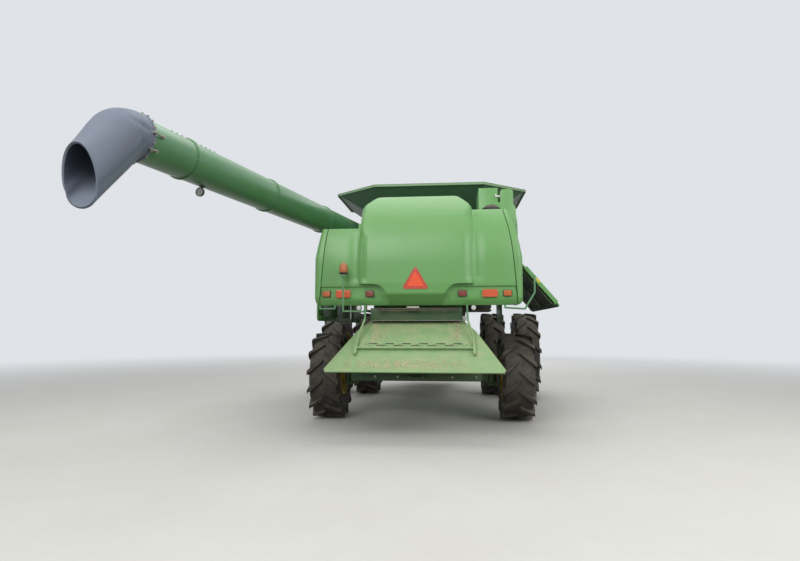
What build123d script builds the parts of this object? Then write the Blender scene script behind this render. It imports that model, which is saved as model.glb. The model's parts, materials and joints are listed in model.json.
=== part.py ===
"""Combine harvester with a folded unloading auger, in millimetres.

Machine frame while modelling: +Y forward, +X to the machine's right, +Z up,
the front axle above Y = 0, the ground at Z = 0, the centre plane at X = 0.
Every piece moves to the middle of the whole machine's box when it is written.
"""
import os
from math import asin, cos, degrees, radians, sin, sqrt

from build123d import *

os.makedirs("parts", exist_ok=True)

# Clearances
seat_gap = 0.3
running_gap = 10
sheet = 30

# Wheels
front_tyre_radius = 975
front_tyre_width = 540
front_rim_radius = 490
front_lugs = 16
rear_lugs = 14
lug_height = 48
lug_width = 56
inner_dual_x = 1520
outer_dual_x = 2290
rear_tyre_radius = 750
rear_tyre_width = 560
rear_rim_radius = 335
rear_wheel_x = 1650
rear_axle_y = -3650
kingpin_x = 1230
kingpin_radius = 40
front_stub_radius = 60
rear_spindle_radius = 45

# Threshing body and frame
body_half = 700
body_rear = -4750
body_front = 150
body_step = -300
belly_z = 1350
deck_z = 2300
deck_thickness = 60
step_z = 1990
rail_width = 100
rail_z = 1150
rail_front = 650
rail_rear = -4900
bay_rear = -5000
upper_front = -350

# Upper side panels
side_half = 1550
panel_thickness = 40
hinge_z = 2660
left_shoulder_z = 3145
right_shoulder_z = 3450
right_shoulder_x = side_half - 110
left_shoulder_x = side_half - 70
hood_front = -4600

# Grain tank and its raised extension
tank_left = -side_half + 570
tank_right = side_half - 250
tank_rear = -2750
tank_rim_z = 3850
tank_wall = 30
extension_top_z = 4400
extension_middle_x = 120
extension_half = side_half + 400
extension_edge_half = 1070
extension_fold = 60
extension_rear = -3150
extension_front = 50
extension_corner_rear = -2450
extension_corner_front = -900

# Rear hood
hood_rear = -5400
hood_wall = 40
hood_bottom_z = 1940
hood_knee_z = 2560
hood_top_y = -4850
bulge_half = 870
bulge_flat_half = 640
bulge_corner_z = 3500
bulge_top_z = 3720
bulge_proud = 70
bulge_round = 90
hood_corner_radius = 75
hood_lip_z = 2117
corner_x_low = side_half - 90
corner_lean = 0.08
corner_gap = 12
lamp_band_z = (2020, 2225)
lamp_band_x = (520, side_half - 105)
lamp_band_depth = 24

# Cab and platform
cab_half = 870
cab_floor_z = 2040
cab_top_z = 3560
cab_rear = -250
cab_wall = 60
roof_thickness = 200
platform_left = -1620
platform_front = 1500
platform_thickness = 40
tank_platform_right = 1500

# Feeder house
feeder_half = 690
feeder_pivot_y = 620
feeder_pivot_z = 1600
feeder_drum_radius = 300
feeder_wall = 25
feeder_front = 2700
feeder_mouth_low = 430
feeder_mouth_high = 1190
feeder_shaft_radius = 40
latch_pin_radius = 20
latch_pin_length = 70

# Lift cylinders, base pin and rod eye as (y, z)
lift_base = (230, 620)
lift_eye = (1600, 790)
lift_x = 560
lift_barrel_radius = 60
lift_barrel_length = 900
lift_rod_radius = 40
lift_pin_radius = 20

# Unloading auger
auger_x = -side_half + 300
auger_y = -950
auger_z = 3600
auger_radius = 238
auger_length = 7410
auger_outward = 12
auger_seams = (1000, 2900, 4800, 6650)
seam_width = 14
turret_radius = 215
turret_top_z = 3340
spout_wall = 24
spout_radius = auger_radius + seat_gap + spout_wall
spout_overlap = 60
spout_straight = 10
spout_bend = 300
spout_angle = 50
spout_tail = 610
mouth_tilt = 13

# Ladder, door and side shields
ladder_pin = (-1650, 1450)
ladder_pin_radius = 20
door_rear = 330
door_front = 1330
door_low = 2110
door_high = 3500
door_thickness = 50
door_gap = 6
shield_front = -2200
shield_drop = 930
shield_thickness = 25
shield_hinge_x = side_half + 40
shield_hinge_z = 2640
shield_pin_radius = 12
right_shield_open = 40

# Radiator housing and its rotary screen
radiator_rear = hood_front + 5
radiator_front = -3300
radiator_face_x = side_half + 50
radiator_top_z = 3900
screen_y = -3930
screen_z = 3150
screen_radius = 400

pieces = {}


def keep(builder, name):
    """Label a finished piece and put it on the list to write."""
    builder.part.label = name
    pieces[name] = builder.part


def block(x, y, z, mode=Mode.ADD):
    """Add a box given by its low and high x, y and z."""
    middle = ((x[0] + x[1]) / 2, (y[0] + y[1]) / 2, (z[0] + z[1]) / 2)
    with Locations(middle):
        Box(x[1] - x[0], y[1] - y[0], z[1] - z[0], mode=mode)


def side_slab(points, x, mode=Mode.ADD):
    """Extrude a closed (y, z) outline from x[0] to x[1]."""
    with BuildSketch(Plane.YZ.offset(x[0])) as outline:
        with BuildLine():
            Polyline(*points, close=True)
        make_face()
    extrude(outline.sketch, amount=x[1] - x[0], dir=(1, 0, 0), mode=mode)


def cross_slab(points, y, mode=Mode.ADD):
    """Extrude a closed (x, z) outline from y[0] to y[1]."""
    with BuildSketch(Plane.XZ.offset(-y[0])) as outline:
        with BuildLine():
            Polyline(*points, close=True)
        make_face()
    extrude(outline.sketch, amount=y[1] - y[0], dir=(0, 1, 0), mode=mode)


def rod(start, end, radius, mode=Mode.ADD):
    """Add a round bar between two points."""
    path = Vector(*end) - Vector(*start)
    with BuildSketch(Plane(origin=start, z_dir=path)) as section:
        Circle(radius)
    extrude(section.sketch, amount=path.length, mode=mode)


def pipe(start, end, radius, bore, mode=Mode.ADD):
    """Add a round tube with a bore between two points."""
    path = Vector(*end) - Vector(*start)
    with BuildSketch(Plane(origin=start, z_dir=path)) as section:
        Circle(radius)
        Circle(bore, mode=Mode.SUBTRACT)
    extrude(section.sketch, amount=path.length, mode=mode)


def tube_run(points, radius):
    """Add round bars through a list of points, with a ball at each turn."""
    for start, end in zip(points, points[1:]):
        rod(start, end, radius)
    with Locations(*points[1:-1]):
        Sphere(radius)


def both(x):
    """The same x range on the right and on the left."""
    return ((x[0], x[1]), (-x[1], -x[0]))


# Main frame: two rails, end beams and the ears that carry the feeder house.
with BuildPart() as main_frame:
    rail_top = belly_z
    for x in both((body_half, body_half + rail_width)):
        block(x, (rail_rear, rail_front), (rail_z, rail_top))
    block((-body_half, body_half), (rail_rear, rail_rear + 100), (rail_z + 50, rail_top - 50))
    block((-body_half, body_half), (body_front + 10, body_front + 120), (rail_z + 50, rail_top - 10))
    ear = [(body_front + 10, rail_top), (rail_front, rail_top),
           (feeder_pivot_y + 110, feeder_pivot_z + 90), (feeder_pivot_y - 150, feeder_pivot_z + 150),
           (body_front + 10, feeder_pivot_z)]
    for x in both((body_half, body_half + 50)):
        side_slab(ear, x)
    rod((-body_half - 60, feeder_pivot_y, feeder_pivot_z), (body_half + 60, feeder_pivot_y, feeder_pivot_z),
        feeder_shaft_radius + seat_gap, mode=Mode.SUBTRACT)
    axle_hanger = (rear_axle_y - 120, rear_axle_y + 120)
    block((-body_half - rail_width, body_half + rail_width), axle_hanger, (950, 1100))
    for x in both((body_half, body_half + rail_width)):
        block(x, axle_hanger, (1100, rail_z))
keep(main_frame, "main_frame")

# Threshing and cleaning body: one closed housing with a stepped front.
with BuildPart() as separator_body:
    body_profile = [(body_rear, belly_z), (body_rear, deck_z), (body_step, deck_z), (body_step, step_z),
                    (body_front, step_z), (body_front, belly_z + 40), (-250, rail_z), (-800, rail_z - 60),
                    (-2400, rail_z - 60), (-3000, rail_z), (-4300, rail_z)]
    side_slab(body_profile, (-body_half, body_half))
keep(separator_body, "separator_body")

# Front drive axle with its final drives, lift cylinder ears and wheel stubs.
front_axle_z = front_tyre_radius
final_drive_x = inner_dual_x - 180
with BuildPart() as front_axle:
    block((-1000, 1000), (-150, 150), (front_axle_z - 155, front_axle_z + 115))
    for x in both((body_half, body_half + rail_width)):
        block(x, (-200, 200), (front_axle_z + 115, rail_z))
    for side in (1, -1):
        rod((side * 900, 0, front_axle_z), (side * final_drive_x, 0, front_axle_z), 235)
        rod((side * final_drive_x, 0, front_axle_z), (side * (final_drive_x + 130), 0, front_axle_z),
            front_stub_radius)
    ear = [(140, front_axle_z - 155), (150, front_axle_z - 20), (lift_base[0] + 50, lift_base[1] + 30),
           (lift_base[0] + 40, lift_base[1] - 50), (lift_base[0] - 60, lift_base[1] - 50)]
    for side in (1, -1):
        for ear_x in (lift_x - 95, lift_x + 65):
            side_slab(ear, (side * ear_x, side * (ear_x + 30)))
        rod((side * (lift_x - 95), *lift_base), (side * (lift_x + 95), *lift_base), lift_pin_radius)
keep(front_axle, "front_axle")

# Rear steering axle: a beam on its centre pivot, with a bored boss at each end.
rear_axle_z = rear_tyre_radius
with BuildPart() as rear_axle:
    block((-kingpin_x + 60, kingpin_x - 60), (rear_axle_y - 90, rear_axle_y + 90),
          (rear_axle_z - 90, rear_axle_z + 90))
    side_slab([(rear_axle_y - 90, rear_axle_z + 90), (rear_axle_y + 90, rear_axle_z + 90),
               (rear_axle_y + 60, 950), (rear_axle_y - 60, 950)], (-150, 150))
    for side in (1, -1):
        rod((side * kingpin_x, rear_axle_y, rear_axle_z - 110),
            (side * kingpin_x, rear_axle_y, rear_axle_z + 110), 85)
        rod((side * kingpin_x, rear_axle_y, rear_axle_z - 120),
            (side * kingpin_x, rear_axle_y, rear_axle_z + 120),
            kingpin_radius + seat_gap, mode=Mode.SUBTRACT)
keep(rear_axle, "rear_axle")

# Steering knuckles: fork arms on a kingpin and a spindle for the wheel.
arm_gap = 15
for side, name in ((-1, "knuckle_left"), (1, "knuckle_right")):
    with BuildPart() as knuckle:
        rod((side * kingpin_x, rear_axle_y, rear_axle_z - 160),
            (side * kingpin_x, rear_axle_y, rear_axle_z + 160),
            kingpin_radius)
        for z in ((rear_axle_z - 160, rear_axle_z - 110 - arm_gap),
                  (rear_axle_z + 110 + arm_gap, rear_axle_z + 160)):
            x = sorted((side * (kingpin_x - 20), side * (kingpin_x + 140)))
            block(x, (rear_axle_y - 60, rear_axle_y + 60), z)
            rod((side * kingpin_x, rear_axle_y, z[0]), (side * kingpin_x, rear_axle_y, z[1]), 60)
        x = sorted((side * (kingpin_x + 105), side * (kingpin_x + 140)))
        block(x, (rear_axle_y - 60, rear_axle_y + 60), (rear_axle_z - 160, rear_axle_z + 160))
        rod((side * (kingpin_x + 120), rear_axle_y, rear_axle_z),
            (side * (kingpin_x + 290), rear_axle_y, rear_axle_z),
            rear_spindle_radius)
    keep(knuckle, name)


def tyre(radius, width, rim_radius, pitches):
    """One tyre about the X axis, faceted at its lug pitch, with two staggered bars to a pitch."""
    crown = radius - lug_height
    half = width / 2
    bead = half * 0.78
    bulge_radius = rim_radius + (crown - rim_radius) * 0.5
    bands = [
        # x and radius of one edge, x and radius of the other, added or cut away
        (-half + 8, bulge_radius, -half * 0.8, crown - 20, "tread"),
        (-half * 0.8, crown - 20, half * 0.8, crown - 20, "tread"),
        (half * 0.8, crown - 20, half - 8, bulge_radius, "tread"),
        (-half + 8, bulge_radius, -bead, rim_radius, "dish"),
        (bead, rim_radius, half - 8, bulge_radius, "dish"),
    ]
    carcass = {"tread": [], "dish": []}
    for low_x, low_radius, high_x, high_radius, kind in bands:
        rings = []
        for x, ring_radius in ((low_x, low_radius), (high_x, high_radius)):
            with BuildSketch(Plane.YZ.offset(x)) as ring:
                RegularPolygon(ring_radius, pitches)
            rings.append(ring.sketch.face())
        carcass[kind].append(loft(rings, ruled=True))
    pitch = 360 / pitches
    reach = radius * sin(radians(pitch / 2)) * 0.86
    tip = sqrt(radius ** 2 - reach ** 2)
    phase = pitch * 0.25 - degrees(asin(reach / radius))
    foot = bulge_radius + 40
    bars = []
    for side in (1, -1):
        with BuildPart() as bar:
            with BuildSketch(Plane.XY.offset(foot)) as outline:
                with BuildLine():
                    Polyline((side * 12, -reach), (side * 12, -reach + lug_width), (side * half, reach),
                             (side * half, reach - 1.5 * lug_width), close=True)
                make_face()
            extrude(outline.sketch, amount=tip - foot)
        for index in range(pitches):
            bars.append(bar.part.rotate(Axis.X, pitch * (index + side * 0.25) - phase))
    with BuildPart() as lugged:
        add([*carcass["tread"], *bars])
        add(carcass["dish"], mode=Mode.SUBTRACT)
        with BuildSketch(Plane.YZ.offset(-half)) as bore:
            RegularPolygon(rim_radius + seat_gap, pitches, major_radius=False)
        extrude(bore.sketch, amount=width, mode=Mode.SUBTRACT)
    return lugged.part


def rim(middle_x, axle_y, axle_z, radius, width, disc_x, hub_bore, hub_x):
    """Revolve one wheel: a barrel with a lip at each edge, a dished disc and a hub."""
    lip_in = width / 2 * 0.78 + 10
    lip_out = lip_in + 14
    wall = radius - 25
    outward = 1 if middle_x > 0 else -1
    face = disc_x - middle_x
    barrel = [(-lip_out, radius + 20), (-lip_in, radius + 20), (-lip_in, radius - seat_gap),
              (lip_in, radius - seat_gap),
              (lip_in, radius + 20), (lip_out, radius + 20), (lip_out, wall), (-lip_out, wall)]
    disc = [(face - 12, hub_bore), (face + 12, hub_bore), (face + 12, radius * 0.5),
            (face - outward * 70 + 12, radius * 0.8), (face - outward * 70 + 12, wall + 5),
            (face - outward * 70 - 12, wall + 5), (face - outward * 70 - 12, radius * 0.8),
            (face - 12, radius * 0.5)]
    for profile in (barrel, disc):
        with BuildSketch(Plane(origin=(middle_x, axle_y, axle_z), x_dir=(1, 0, 0), z_dir=(0, -1,
                                                                                          0))) as section:
            with BuildLine():
                Polyline(*profile, close=True)
            make_face()
        revolve(section.sketch, axis=Axis((middle_x, axle_y, axle_z), (1, 0, 0)))
    rod((hub_x[0], axle_y, axle_z), (hub_x[1], axle_y, axle_z), hub_bore + 50)


front_tyre = tyre(front_tyre_radius, front_tyre_width, front_rim_radius, front_lugs)
steered_tyre = tyre(rear_tyre_radius, rear_tyre_width, rear_rim_radius, rear_lugs)
for side, name in ((-1, "left"), (1, "right")):
    with BuildPart() as front_tyres:
        for middle_x in (inner_dual_x, outer_dual_x):
            add(front_tyre.moved(Location((side * middle_x, 0, front_axle_z))))
    keep(front_tyres, f"front_tyres_{name}")

    stub_end = final_drive_x + 130
    with BuildPart() as front_rims:
        inner_disc = side * (inner_dual_x - 60)
        outer_disc = side * (outer_dual_x - 120)
        rim(side * inner_dual_x, 0, front_axle_z, front_rim_radius, front_tyre_width, inner_disc,
            front_stub_radius, sorted((side * (final_drive_x + 15), inner_disc)))
        rim(side * outer_dual_x, 0, front_axle_z, front_rim_radius, front_tyre_width, outer_disc,
            front_stub_radius, sorted((outer_disc, outer_disc + side * 60)))
        rod((inner_disc, 0, front_axle_z), (outer_disc, 0, front_axle_z), 190)
        rod((side * final_drive_x, 0, front_axle_z), (side * (stub_end + 2), 0, front_axle_z),
            front_stub_radius + seat_gap, mode=Mode.SUBTRACT)
    keep(front_rims, f"front_rims_{name}")

    with BuildPart() as rear_tyre:
        add(steered_tyre.moved(Location((side * rear_wheel_x, rear_axle_y, rear_axle_z))))
    keep(rear_tyre, f"rear_tyre_{name}")

    spindle_end = kingpin_x + 290
    with BuildPart() as rear_rim:
        rear_disc = side * (spindle_end - 10)
        rim(side * rear_wheel_x, rear_axle_y, rear_axle_z, rear_rim_radius, rear_tyre_width, rear_disc,
            rear_spindle_radius, sorted((side * (kingpin_x + 160), side * (spindle_end + 40))))
        rod((side * (kingpin_x + 150), rear_axle_y, rear_axle_z),
            (side * (spindle_end + 2), rear_axle_y, rear_axle_z),
            rear_spindle_radius + seat_gap, mode=Mode.SUBTRACT)
    keep(rear_rim, f"rear_rim_{name}")

# Deck across the body's top with the sills that carry the side panels.
deck_top = deck_z + deck_thickness
with BuildPart() as upper_deck:
    block((-side_half, side_half), (bay_rear, upper_front), (deck_z, deck_top))
    for x in both((side_half - panel_thickness, side_half)):
        block(x, (bay_rear, upper_front), (deck_top, hinge_z))
    for side in (1, -1):
        for y in (bay_rear + 300, (bay_rear + shield_front) / 2, shield_front - 300):
            x = sorted((side * side_half, side * (shield_hinge_x + 20)))
            block(x, (y - 30, y + 30), (shield_hinge_z - 20, shield_hinge_z + 20))
        rod((side * shield_hinge_x, bay_rear + 100, shield_hinge_z),
            (side * shield_hinge_x, shield_front, shield_hinge_z),
            shield_pin_radius + seat_gap, mode=Mode.SUBTRACT)
keep(upper_deck, "upper_deck")

# Upper side panels, leaning in to the tank, the left one low for the auger.
radiator_left = side_half - 550
radiator_cut = ((radiator_left - 10, side_half + 250), (hood_front, radiator_front + 5),
                (hinge_z, radiator_top_z + 100))
with BuildPart() as side_panel_right:
    cross_slab([(side_half, hinge_z), (right_shoulder_x, right_shoulder_z), (tank_right, right_shoulder_z),
                (tank_right, right_shoulder_z - panel_thickness),
                (right_shoulder_x - panel_thickness, right_shoulder_z - panel_thickness),
                (side_half - panel_thickness, hinge_z)], (hood_front, upper_front))
    block(*radiator_cut, mode=Mode.SUBTRACT)
keep(side_panel_right, "side_panel_right")

with BuildPart() as side_panel_left:
    cross_slab([(-side_half, hinge_z), (-left_shoulder_x, left_shoulder_z), (tank_left, left_shoulder_z),
                (tank_left, left_shoulder_z - panel_thickness),
                (-left_shoulder_x + panel_thickness, left_shoulder_z - panel_thickness),
                (-side_half + panel_thickness, hinge_z)], (hood_front, upper_front))
    rod((auger_x, auger_y, hinge_z), (auger_x, auger_y, left_shoulder_z + 10), turret_radius + 10,
        mode=Mode.SUBTRACT)
keep(side_panel_left, "side_panel_left")

# Fixed lower side covers ahead of the swinging shields.
with BuildPart() as lower_covers:
    for x in both((side_half, side_half + shield_thickness)):
        block(x, (shield_front + running_gap, -1050), (shield_hinge_z - shield_drop, hinge_z))
keep(lower_covers, "lower_covers")

# Grain tank, open at the top.
with BuildPart() as grain_tank:
    block((tank_left, tank_right), (tank_rear, upper_front), (deck_top, tank_rim_z))
    block((tank_left + tank_wall, tank_right - tank_wall), (tank_rear + tank_wall, upper_front - tank_wall),
          (deck_top + tank_wall, tank_rim_z + 10), mode=Mode.SUBTRACT)
keep(grain_tank, "grain_tank")


def extension_ring(inset):
    """Outlines of the raised extension at its foot and at its rim, with flat faces between them."""
    left, right = tank_left + inset, tank_right - inset
    rear, front = tank_rear + inset, upper_front - inset
    half, edge = extension_half - inset, extension_edge_half
    far_rear, far_front = extension_rear + inset, extension_front - inset
    rear_fold = extension_fold * (half - edge) / (extension_corner_rear - far_rear)
    front_fold = extension_fold * (half - edge) / (far_front - extension_corner_front)
    foot = [(left + rear_fold, rear), (right - rear_fold, rear), (right, rear + extension_fold),
            (right, front - extension_fold), (right - front_fold, front), (left + front_fold, front),
            (left, front - extension_fold), (left, rear + extension_fold)]
    middle = extension_middle_x
    rim_outline = [(middle - edge, far_rear), (middle + edge, far_rear),
                   (middle + half, extension_corner_rear), (middle + half, extension_corner_front),
                   (middle + edge, far_front), (middle - edge, far_front),
                   (middle - half, extension_corner_front), (middle - half, extension_corner_rear)]
    return foot, rim_outline


with BuildPart() as tank_extension:
    for inset, mode in ((0, Mode.ADD), (tank_wall, Mode.SUBTRACT)):
        sections = []
        for height, outline in zip((tank_rim_z, extension_top_z), extension_ring(inset)):
            with BuildSketch(Plane.XY.offset(height)) as section:
                with BuildLine():
                    Polyline(*outline, close=True)
                make_face()
            sections.append(section.sketch.face())
        loft(sections, ruled=True, mode=mode)
keep(tank_extension, "tank_extension")


def hood_side(inset, low, front):
    """Side view of the hood with its raked back, drawn inward by inset at the back and top."""
    with BuildSketch(Plane.YZ) as side_view:
        with BuildLine():
            Polyline((hood_rear, hood_knee_z), (hood_rear, low - inset), (front + inset, low - inset),
                     (front + inset, bulge_top_z), (hood_top_y, bulge_top_z))
            TangentArc((hood_rear, hood_knee_z), (hood_top_y, bulge_top_z), tangent=(0, 1))
        make_face()
        if inset:
            offset(amount=-inset, kind=Kind.INTERSECTION)
    return side_view.sketch


def hood_back(points, inset, front):
    """Extrude a back view, drawn inward by inset, from the hood's front towards the rear."""
    with BuildSketch(Plane.XZ.offset(-front)) as back:
        with BuildLine():
            Polyline(*points, close=True)
        make_face()
        if inset:
            offset(amount=-inset, kind=Kind.INTERSECTION)
    extrude(back.sketch, amount=front - hood_rear + 100, dir=(0, -1, 0), mode=Mode.INTERSECT)


def hood_body(inset, low, front):
    """The hood's wide part: shouldered sides under a raked back, with rounded corners."""
    with BuildPart() as body:
        extrude(hood_side(bulge_proud + inset, low, front), amount=side_half + 50, both=True)
        hood_back([(-side_half, low - 60), (-side_half, hinge_z), (-left_shoulder_x, left_shoulder_z),
                   (-bulge_half + 60, left_shoulder_z), (-bulge_half + 60, right_shoulder_z),
                   (right_shoulder_x, right_shoulder_z), (side_half, hinge_z), (side_half, low - 60)],
                  inset, front)
        corners = body.edges().filter_by(
            lambda edge: abs(edge.center().X) > right_shoulder_x - inset and edge.center().Y < hood_top_y
            and abs(edge.tangent_at(0.5).Z) > 0.5)
        fillet(corners, radius=hood_corner_radius - inset / 2)
    return body.part


def hood_bulge(inset, low, front):
    """The hood's tall middle, which stands proud of the wide part."""
    with BuildPart() as bulge:
        extrude(hood_side(inset, low, front), amount=bulge_half + 50, both=True)
        shoulder = [(bulge_half, bulge_corner_z - 64), (bulge_half - 12, bulge_corner_z - 5),
                    (bulge_half - 46, bulge_corner_z + 44), (bulge_flat_half + 43, bulge_top_z - 42),
                    (bulge_flat_half - 4, bulge_top_z - 11), (bulge_flat_half - 60, bulge_top_z)]
        right_side = [(bulge_half, low - 60), *shoulder]
        hood_back([(-x, z) for x, z in right_side] + right_side[::-1], inset, front)
    return bulge.part


hood_face_y = hood_rear + bulge_proud
hood_stay_y = hood_face_y + hood_wall / 2
band_low, band_high = lamp_band_z
band_inner, band_outer = lamp_band_x
band_floor_y = hood_face_y + lamp_band_depth
ledge_z = band_high + 35
ledge_end = [(bulge_half + 10, ledge_z), (band_inner + 110, ledge_z), (band_inner + 45, ledge_z - 14),
             (band_inner - 15, ledge_z - 52), (band_inner - 65, ledge_z - 112),
             (band_inner - 100, ledge_z - 190),
             (band_inner - 125, hood_bottom_z - 10), (bulge_half + 10, hood_bottom_z - 10)]
with BuildPart() as hood_shell:
    add(hood_bulge(0, hood_bottom_z, hood_front))
    back_edges = hood_shell.edges().filter_by(
        lambda edge: abs(edge.center().X) > bulge_half - 1 and edge.center().Y < hood_top_y
        and abs(edge.tangent_at(0.5).Z) > 0.5)
    fillet(back_edges, radius=bulge_round)
    for side in (1, -1):
        cross_slab([(side * x, z) for x, z in ledge_end], (hood_rear - 10, hood_face_y), mode=Mode.SUBTRACT)
    side_slab([(hood_rear - 5, hood_lip_z), (hood_rear - 5, hood_bottom_z - 5),
               (hood_face_y, hood_bottom_z - 5)],
              (-bulge_half, bulge_half), mode=Mode.SUBTRACT)
    add(hood_body(0, hood_bottom_z, hood_front))
    add(hood_body(hood_wall, hood_bottom_z - 200, hood_front + 200), mode=Mode.SUBTRACT)
    add(hood_bulge(hood_wall, ledge_z + 60, hood_front + 200), mode=Mode.SUBTRACT)
    block((-side_half - 100, side_half + 100), (bay_rear - 10, hood_front + 10),
          (hood_bottom_z - 10, hinge_z + seat_gap), mode=Mode.SUBTRACT)
    for side in (1, -1):
        cross_slab([(side * band_inner, band_low + 5), (side * band_outer, band_low),
                    (side * band_outer, band_high), (side * (band_inner + 90), band_high),
                    (side * band_inner, band_high - 60)], (hood_face_y - 5,
                                                           band_floor_y), mode=Mode.SUBTRACT)

# The hood's corners are separate panels, beyond a leaning gap on each side.
with BuildPart() as rear_hood:
    add(hood_shell.part)
    for side in (1, -1):
        lean = (right_shoulder_z + 100 - hood_bottom_z) * corner_lean
        cross_slab([(side * corner_x_low, hood_bottom_z - 10),
                    (side * (corner_x_low + corner_gap), hood_bottom_z - 10),
                    (side * (corner_x_low + corner_gap - lean), right_shoulder_z + 100),
                    (side * (corner_x_low - lean), right_shoulder_z + 100)],
                   (hood_rear - 10, hood_front + 10), mode=Mode.SUBTRACT)
keep(rear_hood, "rear_hood")

# Engine as one block, its cover and the cooling box at the right.
with BuildPart() as engine:
    block((-600, 700), (-4300, -3000), (deck_top, left_shoulder_z - 60))
keep(engine, "engine")

cover_left = tank_left - sheet
with BuildPart() as engine_cover:
    block((cover_left, tank_right), (hood_front, tank_rear), (left_shoulder_z, left_shoulder_z + 200))
    block((cover_left + sheet, tank_right - sheet), (hood_front + sheet, tank_rear - sheet),
          (left_shoulder_z - 10, left_shoulder_z + 200 - sheet), mode=Mode.SUBTRACT)
    block(*radiator_cut, mode=Mode.SUBTRACT)
keep(engine_cover, "engine_cover")

screen_face_x = radiator_face_x + 6
with BuildPart() as radiator_housing:
    cross_slab([(radiator_left, deck_top), (side_half - panel_thickness, deck_top),
                (side_half - panel_thickness, hinge_z), (radiator_face_x, hinge_z + 80),
                (radiator_face_x, radiator_top_z - 340), (radiator_face_x - 60, radiator_top_z - 240),
                (radiator_left, radiator_top_z - 240)], (radiator_rear, radiator_front))
    block((radiator_left, radiator_left + 310), (radiator_rear, radiator_front - 500),
          (radiator_top_z - 240, radiator_top_z))
    with BuildPart(mode=Mode.PRIVATE) as side_box:
        block((radiator_left + 350, radiator_face_x - 40), (radiator_rear, radiator_front),
              (radiator_top_z - 300, radiator_top_z - 20))
        fillet(side_box.edges().filter_by(Axis.Y).sort_by(Axis.Z)[-2:], radius=60)
    add(side_box.part)
    with BuildSketch(Plane.YZ.offset(radiator_face_x - 1)) as shroud:
        with Locations((screen_y, screen_z)):
            Circle(screen_radius + 60)
            Circle(screen_radius + 25, mode=Mode.SUBTRACT)
    extrude(shroud.sketch, amount=50)
    rod((radiator_face_x - 100, screen_y, screen_z), (radiator_face_x + 1, screen_y, screen_z),
        30 + seat_gap,
        mode=Mode.SUBTRACT)
keep(radiator_housing, "radiator_housing")

screen_bars = 12
with BuildPart() as rotary_screen:
    pipe((screen_face_x, screen_y, screen_z), (screen_face_x + 50, screen_y, screen_z), screen_radius,
         screen_radius - 20)
    rod((screen_face_x, screen_y, screen_z), (screen_face_x + 12, screen_y, screen_z), screen_radius - 15)
    rod((screen_face_x, screen_y, screen_z), (screen_face_x + 40, screen_y, screen_z), 90)
    rod((radiator_face_x - 90, screen_y, screen_z), (screen_face_x + 4, screen_y, screen_z), 30)
    with BuildSketch(Plane.YZ.offset(screen_face_x + 5)) as spokes:
        with Locations((screen_y, screen_z)):
            with PolarLocations(screen_radius / 2 + 20, screen_bars):
                Rectangle(screen_radius - 90, 14)
    extrude(spokes.sketch, amount=28)
keep(rotary_screen, "rotary_screen")

cleaner_place = (side_half - 365, hood_front - 180)
with BuildPart() as intake_and_exhaust:
    top = left_shoulder_z + 200
    block((900, 1260), (-3150, -2850), (top, tank_rim_z))
    rod((650, -3400, top), (650, -3400, top + 260), 130)
    tube_run([(-500, -3300, top), (-500, -3300, top + 460), (-500, -3420, top + 580)], 70)
    rod((*cleaner_place, right_shoulder_z), (*cleaner_place, right_shoulder_z + 60), 145)
    with BuildPart(mode=Mode.PRIVATE) as dome:
        with Locations((*cleaner_place, right_shoulder_z - 50)):
            Sphere(180)
        block((cleaner_place[0] - 200, cleaner_place[0] + 200),
              (cleaner_place[1] - 200, cleaner_place[1] + 200),
              (right_shoulder_z - 300, right_shoulder_z + 56), mode=Mode.SUBTRACT)
    add(dome.part)
keep(intake_and_exhaust, "intake_and_exhaust")

# Cab: a closed frame with a curved front, its glass, roof and inside.
def cab_shape(inset, half):
    """Side view of the cab, drawn inward by inset, as a block of the given half width."""
    with BuildPart() as shape:
        with BuildSketch(Plane.YZ) as outline:
            with BuildLine():
                Polyline((1520, cab_floor_z), (cab_rear, cab_floor_z), (cab_rear, cab_top_z),
                         (1660, cab_top_z))
                ThreePointArc((1660, cab_top_z), (1860, 2780), (1520, cab_floor_z))
            make_face()
            if inset:
                offset(amount=-inset, kind=Kind.INTERSECTION)
        extrude(outline.sketch, amount=half, both=True)
    return shape.part


window_cuts = [
    # x range, y range, z range
    ((-790, 790), (1300, 2000), (2160, 3490)),
    ((800, 900), (-100, 1400), (2200, 3490)),
    ((-480, 480), (-300, -180), (2760, 3400)),
]
door_cut = ((-900, -800), (door_rear, door_front), (door_low, door_high))
with BuildPart() as cab_frame:
    add(cab_shape(0, cab_half))
    add(cab_shape(cab_wall, cab_half - cab_wall), mode=Mode.SUBTRACT)
    for cut in (*window_cuts, door_cut):
        block(*cut, mode=Mode.SUBTRACT)
    for z in (2300, 3300):
        block((-905, -cab_half), (door_rear - 40, door_rear + 6), (z - 12, z + 12))
        rod((-887, door_rear - 4, z - 20), (-887, door_rear - 4, z + 20), 10 + seat_gap, mode=Mode.SUBTRACT)
keep(cab_frame, "cab_frame")

with BuildPart() as cab_glass:
    add(cab_shape(25, cab_half - 25))
    add(cab_shape(35, cab_half - 35), mode=Mode.SUBTRACT)
    with BuildPart(mode=Mode.PRIVATE) as openings:
        for cut in window_cuts:
            block(*cut)
    add(openings.part, mode=Mode.INTERSECT)
keep(cab_glass, "cab_glass")

with BuildPart() as cab_roof:
    block((-930, 930), (-340, 1880), (cab_top_z, cab_top_z + roof_thickness))
    fillet(cab_roof.edges().filter_by(Axis.Z), radius=150)
    fillet(cab_roof.faces().sort_by(Axis.Z)[-1].edges(), radius=60)
    for x in both((cab_half - 440, cab_half - 240)):
        block(x, (1850, 1925), (cab_top_z + 20, cab_top_z + 120))
    for x in both((cab_half - 200, cab_half - 20)):
        block(x, (1850, 1925), (cab_top_z + 20, cab_top_z + 120))
keep(cab_roof, "cab_roof")

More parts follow.
